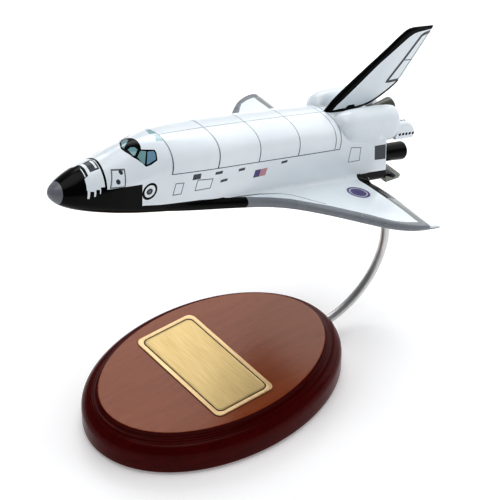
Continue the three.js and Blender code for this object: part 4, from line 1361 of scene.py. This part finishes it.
def build_housing(side, label):
    rings = []
    for k in range(HOUSING_RINGS + 1):
        x = HOUSING_FRONT_X + (HOUSING_REAR_X - HOUSING_FRONT_X) * k / HOUSING_RINGS
        top = float(smooth_through(HOUSING_FALL[:, 0], HOUSING_FALL[:, 1], np.array([x]))[0])
        edge = max(0.0, (HOUSING_REAR_X + HOUSING_END_LONG - x) / HOUSING_END_LONG)
        inset = HOUSING_END_DEEP * (1 - math.sqrt(max(0.0, 1 - edge ** 2)))
        ring = rounded_ring(HOUSING_INNER + inset, HOUSING_OUTER - inset, HOUSING_BOTTOM + inset,
                            top - inset, HOUSING_TOP_ROUND, HOUSING_LOW_ROUND)
        rings.append([(x, side * y, z) for y, z in ring])
    return lofted_piece(f"thruster_housing_shell_{label}", rings, white_lacquer, 50)


# The nozzles

NOZZLE_WALL = 0.9
NOZZLE_POINTS = 56
LIP_TURNS = (30, 60, 90, 120, 150)
BELL_STEPS = 24
HOLLOW_STEPS = 12
# The hollow's floor: each ring's height over it, and its size as a share of the ring before
HOLLOW_FLOOR = ((0.1, 0.82), (0.0, 0.6))


def build_nozzle(name, paint, bell, front_end, tilt):
    """A turned bell with a rounded lip and a hollow rear end, its axis running rearward."""
    front, rear, length, hollow, flare = bell
    rim = length - NOZZLE_WALL / 2

    def width(along):
        return front + (rear - front) * (along / length) ** flare

    stations = [rim * k / BELL_STEPS for k in range(BELL_STEPS + 1)]
    profile = [(along, width(along)) for along in stations]
    for degrees in LIP_TURNS:
        a = math.radians(degrees)
        profile.append((rim + NOZZLE_WALL / 2 * math.sin(a),
                        rear - NOZZLE_WALL / 2 + NOZZLE_WALL / 2 * math.cos(a)))
    for k in range(HOLLOW_STEPS + 1):
        along = rim - (hollow - NOZZLE_WALL) * k / HOLLOW_STEPS
        profile.append((along, width(along) - NOZZLE_WALL))
    for over, share in HOLLOW_FLOOR:
        profile.append((length - hollow + over, profile[-1][1] * share))
    x, y, z = front_end
    c = math.cos(math.radians(tilt))
    s = math.sin(math.radians(tilt))
    rings = []
    for along, radius in profile:
        ring = []
        for k in range(NOZZLE_POINTS):
            a = 2 * math.pi * k / NOZZLE_POINTS
            height = radius * math.sin(a)
            ring.append((x - c * along + s * height, y + radius * math.cos(a),
                         z + s * along + c * height))
        rings.append(ring)
    return lofted_piece(name, rings, paint, 50)


# Front radius, rear radius, length, depth of the hollow, and how late the bell flares
UPPER_BELL = (4.6, 8.2, 32.0, 11.0, 1.5)
LOWER_BELL = (7.0, 8.0, 37.5, 12.0, 0.8)
SMALL_BELL = (2.2, 3.2, 5.0, 4.2, 0.7)
SMALL_X = POD_REAR_X - GAP
# Size and place, paint, bell, front end (x, y, z) and tilt
NOZZLES = [
    # The upper bell's grey paint is a painted sheen; the lower bells are plain black
    ("main", "upper", sheen_grey_bell, UPPER_BELL, (-118.0, 0.0, 16.0), 8.0),
    ("main", "left", soot_paint, LOWER_BELL, (-128.0, 13.5, -17.0), -1.0),
    ("main", "right", soot_paint, LOWER_BELL, (-128.0, -13.5, -17.0), -1.0),
    ("small", "left", soot_paint, SMALL_BELL, (SMALL_X, 14.6, 13.0), 0.0),
    ("small", "right", soot_paint, SMALL_BELL, (SMALL_X, -14.6, 13.0), 0.0),
]
for size, label, *row in NOZZLES:
    carry(build_nozzle(f"{size}_bell_{label}", *row), f"{size}_nozzle_{label}")

# The body flap

FLAP_HALF_WIDTH = 28.5
FLAP_REAR_X = -158.5
FLAP_TOP_Z = -31.0
FLAP_BOTTOM_Z = -38.2
FLAP_CORNER = 3.0
# How far the top falls and the underside rises towards the rear edge
FLAP_FALL = 2.0
FLAP_RISE = 2.4
# The rounded rear edge: the height of its middle, half its height, and its depth
FLAP_EDGE_Z = -34.4
FLAP_EDGE_HALF = 1.4
FLAP_EDGE_DEEP = 0.3
# The rounding of the sides, and how far the front reaches into the body
FLAP_SIDE_LONG = 0.5
FLAP_SIDE_DEEP = 0.35
FLAP_FRONT_IN = 0.4
# The top is painted black ahead of this station, to this depth below it: a painted shadow under the lower
# bells
FLAP_SHADOW_X = FLAP_REAR_X + 7.5
FLAP_SHADOW_DEEP = 2.4
FLAP_POINTS = 14
FLAP_HALF_STEPS = 20
FLAP_EDGE_STEPS = 6


def build_flap():
    front_top = REAR_FACE_X + REAR_FACE_SLOPE * FLAP_TOP_Z + FLAP_FRONT_IN
    front_low = REAR_FACE_X + REAR_FACE_SLOPE * FLAP_BOTTOM_Z + FLAP_FRONT_IN
    shares = [k / (FLAP_POINTS - 1) for k in range(FLAP_POINTS)]
    rings = []
    for across in range(-FLAP_HALF_STEPS, FLAP_HALF_STEPS + 1):
        y = FLAP_HALF_WIDTH * across / FLAP_HALF_STEPS
        corner = max(0.0, abs(y) - (FLAP_HALF_WIDTH - FLAP_CORNER))
        rear = FLAP_REAR_X + FLAP_CORNER - math.sqrt(max(0.0, FLAP_CORNER ** 2 - corner ** 2))
        edge = max(0.0, abs(y) - (FLAP_HALF_WIDTH - FLAP_SIDE_LONG)) / FLAP_SIDE_LONG
        thin = FLAP_SIDE_DEEP * (1 - math.sqrt(max(0.0, 1 - edge ** 2)))
        ring = [(front_top + (rear - front_top) * f, y, FLAP_TOP_Z - FLAP_FALL * f - thin)
                for f in shares]
        for k in range(1, FLAP_EDGE_STEPS):
            a = math.pi * k / FLAP_EDGE_STEPS
            ring.append((rear - FLAP_EDGE_DEEP * math.sin(a), y,
                         FLAP_EDGE_Z + (FLAP_EDGE_HALF - thin) * math.cos(a)))
        ring += [(front_low + (rear - front_low) * f, y, FLAP_BOTTOM_Z + FLAP_RISE * f + thin)
                 for f in shares[::-1]]
        rings.append(ring)
    points, faces = loft(rings)
    paint = []
    for f in faces:
        x, _, z = np.mean([points[i] for i in f], axis=0)
        # The black on the front of the top is painted shadow
        paint.append(1 if z > FLAP_TOP_Z - FLAP_SHADOW_DEEP and x > FLAP_SHADOW_X else 0)
    return make_piece("body_flap_panel", orbiter_place(points), faces, [olive_paint, black_lacquer], 30,
                      paint)


carry(build_flap(), "body_flap")

# Trees for pieces that follow a path or repeat

def start_tree(name, inputs):
    """A geometry tree with named inputs; returns it and its input and output nodes."""
    tree = bpy.data.node_groups.new(name, "GeometryNodeTree")
    tree.interface.new_socket("Geometry", in_out="INPUT", socket_type="NodeSocketGeometry")
    tree.interface.new_socket("Geometry", in_out="OUTPUT", socket_type="NodeSocketGeometry")
    for label, kind in inputs:
        tree.interface.new_socket(label, in_out="INPUT", socket_type=kind)
    return tree, tree.nodes.new("NodeGroupInput"), tree.nodes.new("NodeGroupOutput")


def grow(name, tree, points, edges, values, sharp):
    """Runs a tree on a small wire; returns the clean plain mesh object that it makes."""
    wire = bpy.data.meshes.new(name + "_wire")
    wire.from_pydata([tuple(p) for p in points], edges, [])
    holder = put_in_scene(name + "_wire", wire)
    modifier = holder.modifiers.new("grow", "NODES")
    modifier.node_group = tree
    for item in tree.interface.items_tree:
        if item.item_type == "SOCKET" and item.in_out == "INPUT" and item.name in values:
            modifier[item.identifier] = values[item.name]
    mesh = applied(holder, modifier)
    bpy.data.objects.remove(holder)
    mesh.name = name
    clean(mesh)
    smooth(mesh, sharp)
    return put_in_scene(name, mesh)


def in_a_row(points):
    """The edges that join each point to the next."""
    return [(i, i + 1) for i in range(len(points) - 1)]


def finish_tree(tree, made, paint, result):
    """Ends a tree: its instances are realized and painted."""
    whole = add(tree, "GeometryNodeRealizeInstances", {"Geometry": made})
    painted = add(tree, "GeometryNodeSetMaterial", {
        "Geometry": whole.outputs["Geometry"], "Material": paint})
    tree.links.new(painted.outputs["Geometry"], result.inputs["Geometry"])
    return tree


def rod_tree():
    tree, given, result = start_tree("bent_rod", [
        ("Radius", "NodeSocketFloat"), ("Sides", "NodeSocketInt")])
    path = add(tree, "GeometryNodeMeshToCurve", {"Mesh": given.outputs["Geometry"]})
    ring = add(tree, "GeometryNodeCurvePrimitiveCircle", {
        "Resolution": given.outputs["Sides"], "Radius": given.outputs["Radius"]})
    tube = add(tree, "GeometryNodeCurveToMesh", {
        "Curve": path.outputs["Curve"], "Profile Curve": ring.outputs["Curve"], "Fill Caps": True})
    return finish_tree(tree, tube.outputs["Mesh"], rod_plate, result)


ROD_BEND_STEPS = 72


def rod_path():
    """The rod's centre line: straight out of the base, round the bend and up into the belly."""
    points = [(ROD_START_X, 0, ROD_Z), (ROD_BEND_X, 0, ROD_Z)]
    sweep = math.radians(90 + ROD_TOP_ANGLE)
    for k in range(1, ROD_BEND_STEPS + 1):
        angle = -math.pi / 2 - sweep * k / ROD_BEND_STEPS
        points.append((ROD_BEND_X + ROD_BEND_RADIUS * math.cos(angle), 0,
                       ROD_Z + ROD_BEND_RADIUS * (1 + math.sin(angle))))
    lean = math.radians(ROD_TOP_ANGLE)
    x, _, z = points[-1]
    points.append((x + ROD_TOP_STRAIGHT * math.sin(lean), 0, z + ROD_TOP_STRAIGHT * math.cos(lean)))
    return points


rod_line = plain_place(rod_path())
rod = grow("chrome_rod", rod_tree(), rod_line, in_a_row(rod_line),
           {"Radius": ROD_RADIUS * MM, "Sides": 36}, 40)
carry(rod, "stand_rod")

# The base

# Its moulding is one profile swept round the oval of the top plate: the distance out from the
# plate's edge and down from its top
BASE_EDGE = [
    (-1.0, 0.0), (-0.6, 0.02), (-0.25, 0.18), (-0.05, 0.5), (0.0, 0.9), (0.12, 2.0), (0.45, 3.4),
    (0.75, 4.1), (1.3, 4.6), (2.4, 4.8), (4.0, 4.85), (4.6, 5.0), (4.95, 5.4), (5.2, 6.0), (5.7, 6.45),
    (6.6, 6.6), (7.5, 6.75), (8.8, 7.3), (10.1, 8.25), (11.4, 9.5), (12.4, 10.7), (13.3, 12.1),
    (14.0, 13.7), (14.5, 15.4), (14.75, 17.4), (14.8, 19.5), (14.8, 25.0), (14.8, 31.2), (14.6, 32.2),
    (14.0, 33.1), (13.2, 33.8), (12.6, 34.2), (12.0, 34.45),
]
BASE_POINTS = 240
DRILL_SIDES = 48
# The top keeps the lighter lacquer down to this depth; below it the side takes the painted shade
TOP_COAT_DEEP = 0.3


def moulding_tree():
    tree, given, result = start_tree("base_moulding", [
        ("Half Length", "NodeSocketFloat"), ("Half Width", "NodeSocketFloat"),
        ("Sides", "NodeSocketInt")])
    edge = add(tree, "GeometryNodeMeshToCurve", {"Mesh": given.outputs["Geometry"]})
    ring = add(tree, "GeometryNodeCurvePrimitiveCircle", {
        "Resolution": given.outputs["Sides"], "Radius": 1.0})
    stretch = add(tree, "ShaderNodeCombineXYZ", {
        "X": given.outputs["Half Length"], "Y": given.outputs["Half Width"], "Z": 1.0})
    oval = add(tree, "GeometryNodeTransform", {
        "Geometry": ring.outputs["Curve"], "Scale": stretch.outputs["Vector"]})
    upright = add(tree, "GeometryNodeSetCurveNormal", {"Curve": oval.outputs["Geometry"]}, mode="Z_UP")
    swept = add(tree, "GeometryNodeCurveToMesh", {
        "Curve": upright.outputs["Curve"], "Profile Curve": edge.outputs["Curve"]})
    return finish_tree(tree, swept.outputs["Mesh"], base_lacquer, result)


def drill():
    """The rod's hole in the base's rear edge, as a solid."""
    work = bmesh.new()
    place = Matrix.Translation(((ROD_START_X + GAP - BORE_LENGTH / 2) * MM, 0, ROD_Z * MM))
    bmesh.ops.create_cone(work, cap_ends=True, segments=DRILL_SIDES, radius1=ROD_HOLE_RADIUS * MM,
                          radius2=ROD_HOLE_RADIUS * MM, depth=BORE_LENGTH * MM,
                          matrix=place @ Matrix.Rotation(math.pi / 2, 4, "Y"))
    mesh = bpy.data.meshes.new("drill")
    work.to_mesh(mesh)
    work.free()
    return put_in_scene("drill", mesh)


def build_base():
    profile = [(out * MM, (down - BASE_TOP_Z) * MM, 0) for out, down in BASE_EDGE]
    base = grow("oval_base", moulding_tree(), profile, in_a_row(profile), {
        "Half Length": TOP_HALF_LENGTH * MM, "Half Width": TOP_HALF_WIDTH * MM, "Sides": BASE_POINTS}, 38)
    clean(base.data, fill=True)
    bit = drill()
    cut = base.modifiers.new("hole", "BOOLEAN")
    cut.operation = "DIFFERENCE"
    cut.object = bit
    base.data = applied(base, cut)
    bpy.data.objects.remove(bit)
    # The side and moulding get the darker lacquer that paints shade on them; the top keeps the light one
    base.data.materials.clear()
    base.data.materials.append(painted_shade_lacquer)
    base.data.materials.append(base_lacquer)
    for face in base.data.polygons:
        face.material_index = 1 if face.center.z > (BASE_TOP_Z - TOP_COAT_DEEP) * MM else 0
    smooth(base.data, 38)
    return base


carry(build_base(), "base")

# The plaque

# A blank plate with a bevelled edge and one engraved line round it: the distance in from its edge
# and the height over its underside
PLAQUE_EDGE = [
    (0.0, 0.0), (0.0, 0.3), (0.08, 0.42), (0.3, 0.62), (0.45, 0.65), (1.2, 0.65), (4.1, 0.65),
    (4.2, 0.6), (4.3, 0.42), (4.65, 0.4), (5.0, 0.42), (5.1, 0.6), (5.2, 0.65), (7.5, 0.65),
]
# The rows of that table where the engraved line begins and ends
BORDER_ROWS = (7, 10)


def plaque_ring(inset, height):
    half_x = PLAQUE_WIDTH / 2 - inset
    half_y = PLAQUE_LENGTH / 2 - inset
    radius = PLAQUE_CORNER - inset * 0.25
    ring = rounded_ring(-half_x, half_x, -half_y, half_y, radius, radius, 10)
    return [(PLAQUE_X + a, b, BASE_TOP_Z + GAP + height) for a, b in ring]


def build_plaque():
    rings = [plaque_ring(inset, height) for inset, height in PLAQUE_EDGE]
    points, faces = loft(rings)
    first, last = BORDER_ROWS
    paint = []
    for f in faces:
        row = min(f) // len(rings[0])
        paint.append(1 if row < first else 2 if row <= last else 0)
    return make_piece("brass_plaque", plain_place(points), faces,
                      [plate_brass, rim_brass, border_fill], 30, paint)


carry(build_plaque(), "plaque")

# The housings and their thruster ports

PORT_DEPTH = 0.2
# Ports on a housing's outer face and on its top: radius, turn, paint, then station, distance from
# the centre and height of each
SIDE_PORT_Y = HOUSING_OUTER + 0.02
PORT_ROWS = [
    ("thruster_ports", 1.25, (math.pi / 2, 0.0, 0.0), black_lacquer, [
        (-140.2, SIDE_PORT_Y, 9.2), (-144.1, SIDE_PORT_Y, 9.2), (-148.0, SIDE_PORT_Y, 9.1),
        (-151.9, SIDE_PORT_Y, 9.1), (-155.7, SIDE_PORT_Y, 9.0)]),
    ("upper_ports", 1.1, (0.0, -PITCH, 0.0), cap_grey, [
        (-139.4, 23.4, 19.62), (-142.9, 23.4, 19.62), (-146.2, 23.4, 19.62)]),
]


def port_tree():
    tree, given, result = start_tree("thruster_ports", [
        ("Radius", "NodeSocketFloat"), ("Depth", "NodeSocketFloat"),
        ("Turn", "NodeSocketVector"), ("Paint", "NodeSocketMaterial")])
    disc = add(tree, "GeometryNodeMeshCylinder", {
        "Vertices": 20, "Radius": given.outputs["Radius"], "Depth": given.outputs["Depth"]})
    turned = add(tree, "GeometryNodeTransform", {
        "Geometry": disc.outputs["Mesh"], "Rotation": given.outputs["Turn"]})
    spread = add(tree, "GeometryNodeInstanceOnPoints", {
        "Points": given.outputs["Geometry"], "Instance": turned.outputs["Geometry"]})
    return finish_tree(tree, spread.outputs["Instances"], given.outputs["Paint"], result)


ports = port_tree()
for side, label in SIDES:
    carry(build_housing(side, label), f"thruster_housing_{label}")
    for name, radius, turn, paint, places in PORT_ROWS:
        row = grow(f"{name}_{label}", ports, orbiter_place([(x, side * y, z) for x, y, z in places]), [],
                   {"Radius": radius * MM, "Depth": PORT_DEPTH * MM, "Turn": turn, "Paint": paint}, 30)
        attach(row, "root")

# The felt pad

# An oval cut a little inside the base's edge
FELT_HALF_LENGTH = 118.6
FELT_HALF_WIDTH = 82.1
FELT_THICK = 1.5
FELT_POINTS = 160
# Its cut edge is slightly rounded: the distance in from it and the height
FELT_EDGE = [
    (20.0, 0.0), (0.6, 0.0), (0.2, 0.08), (0.0, 0.35), (0.0, FELT_THICK - 0.2), (0.2, FELT_THICK),
    (20.0, FELT_THICK),
]


def build_felt():
    turns = [2 * math.pi * k / FELT_POINTS for k in range(FELT_POINTS)]
    rings = []
    for inset, z in FELT_EDGE:
        long = FELT_HALF_LENGTH - inset
        wide = FELT_HALF_WIDTH - inset
        rings.append([(long * math.cos(a), wide * math.sin(a), z) for a in turns])
    return lofted_piece("felt_pad", rings, under_felt, 40, plain_place)


carry(build_felt(), "base_felt")

# The floor, the light and the camera

FLOOR_HALF = 6.0


def build_floor():
    mesh = bpy.data.meshes.new("floor")
    corners = [(-1, -1), (1, -1), (1, 1), (-1, 1)]
    mesh.from_pydata([(x * FLOOR_HALF, y * FLOOR_HALF, 0) for x, y in corners], [], [(0, 1, 2, 3)])
    floor = put_in_scene("floor", mesh)
    material, tree, place = start_material("pale_paper")
    mottle = add(tree, "ShaderNodeTexNoise", {"Vector": place, "Scale": 3.0})
    hue = add(tree, "ShaderNodeMix", {
        "Factor": mottle.outputs["Fac"], "A": linear("f6f6f6"), "B": linear("f4f4f5")}, data_type="RGBA")
    mesh.materials.append(finish_material(material, {
        "Base Color": hue.outputs["Result"], "Roughness": 0.9, "Specular IOR Level": 0.1,
        "Emission Color": (1.0, 1.0, 1.0, 1.0), "Emission Strength": 0.16}))


build_floor()

# Soft lights: place, width, height, power, and whether a glossy surface mirrors them
LIGHT_TARGET = Vector((0, 0, 0.2))
LIGHTS = [
    ("overhead_softbox", (0.1, 0.05, 1.9), 1.3, 1.3, 8.4, True),
    ("far_softbox", (-0.9, -1.2, 1.4), 1.2, 1.2, 9.6, True),
    ("tail_fill", (-1.5, 1.5, 0.8), 1.4, 1.0, 6.4, False),
    ("side_fill", (0.2, 1.9, 0.6), 1.4, 1.0, 1.5, False),
    ("nose_fill", (1.9, -0.3, 0.8), 1.4, 1.0, 5.4, False),
    ("rear_fill", (-1.9, -0.3, 0.8), 2.4, 1.4, 9.8, True),
]
for light_name, place, width, height, power, seen in LIGHTS:
    light = bpy.data.lights.new(light_name, "AREA")
    light.shape = "RECTANGLE"
    light.size = width
    light.size_y = height
    light.energy = power
    lamp = put_in_scene(light_name, light)
    lamp.location = place
    lamp.rotation_euler = (LIGHT_TARGET - Vector(place)).to_track_quat("-Z", "Y").to_euler()
    lamp.visible_glossy = seen

# Which way the camera's side of the room lies, level
ROOM_SIDE = (0.613, 0.790, 0.0)


def studio_world():
    """A pale backdrop behind and above the model and an unlit room on the camera's side."""
    world = bpy.data.worlds.new("studio")
    world.use_nodes = True
    tree = world.node_tree
    tree.nodes.clear()
    place = add(tree, "ShaderNodeTexCoord")
    parts = add(tree, "ShaderNodeSeparateXYZ", {"Vector": place.outputs["Generated"]})
    toward = add(tree, "ShaderNodeVectorMath", {
        0: place.outputs["Generated"], 1: ROOM_SIDE}, operation="DOT_PRODUCT")
    backdrop = add(tree, "ShaderNodeMapRange", {
        "Value": toward.outputs["Value"], "From Min": 0.5, "From Max": -0.1},
        interpolation_type="SMOOTHSTEP")
    shallow = add(tree, "ShaderNodeMapRange", {
        "Value": parts.outputs["Z"], "From Min": -0.88, "From Max": -0.68},
        interpolation_type="SMOOTHSTEP")
    lit = add(tree, "ShaderNodeMath", {
        0: backdrop.outputs["Result"], 1: shallow.outputs["Result"]}, operation="MULTIPLY")
    level = add(tree, "ShaderNodeMapRange", {
        "Value": lit.outputs["Value"], "To Min": 0.17, "To Max": 0.26})
    sky = add(tree, "ShaderNodeBackground", {
        "Color": (0.95, 0.97, 1.0, 1.0), "Strength": level.outputs["Result"]})
    add(tree, "ShaderNodeOutputWorld", {"Surface": sky.outputs["Background"]})
    return world


bpy.context.scene.world = studio_world()

CAMERA_TARGET = Vector((-0.052064, -0.014421, 0.125))
CAMERA_DISTANCE = 1.9121
CAMERA_LENS = 159.868
CAMERA_SENSOR = 36.0
CAMERA_ELEVATION = math.radians(39.8923)
CAMERA_AZIMUTH = math.radians(142.2086)

lens = bpy.data.cameras.new("camera")
lens.sensor_width = CAMERA_SENSOR
lens.lens = CAMERA_LENS
camera = put_in_scene("camera", lens)
level = math.cos(CAMERA_ELEVATION)
back = Vector((math.sin(CAMERA_AZIMUTH) * level, -math.cos(CAMERA_AZIMUTH) * level,
               math.sin(CAMERA_ELEVATION)))
camera.location = CAMERA_TARGET + back * CAMERA_DISTANCE
camera.rotation_euler = (-back).to_track_quat("-Z", "Y").to_euler()
bpy.context.scene.camera = camera
bpy.context.scene.view_settings.view_transform = "Standard"
bpy.context.scene.view_settings.look = "High Contrast"
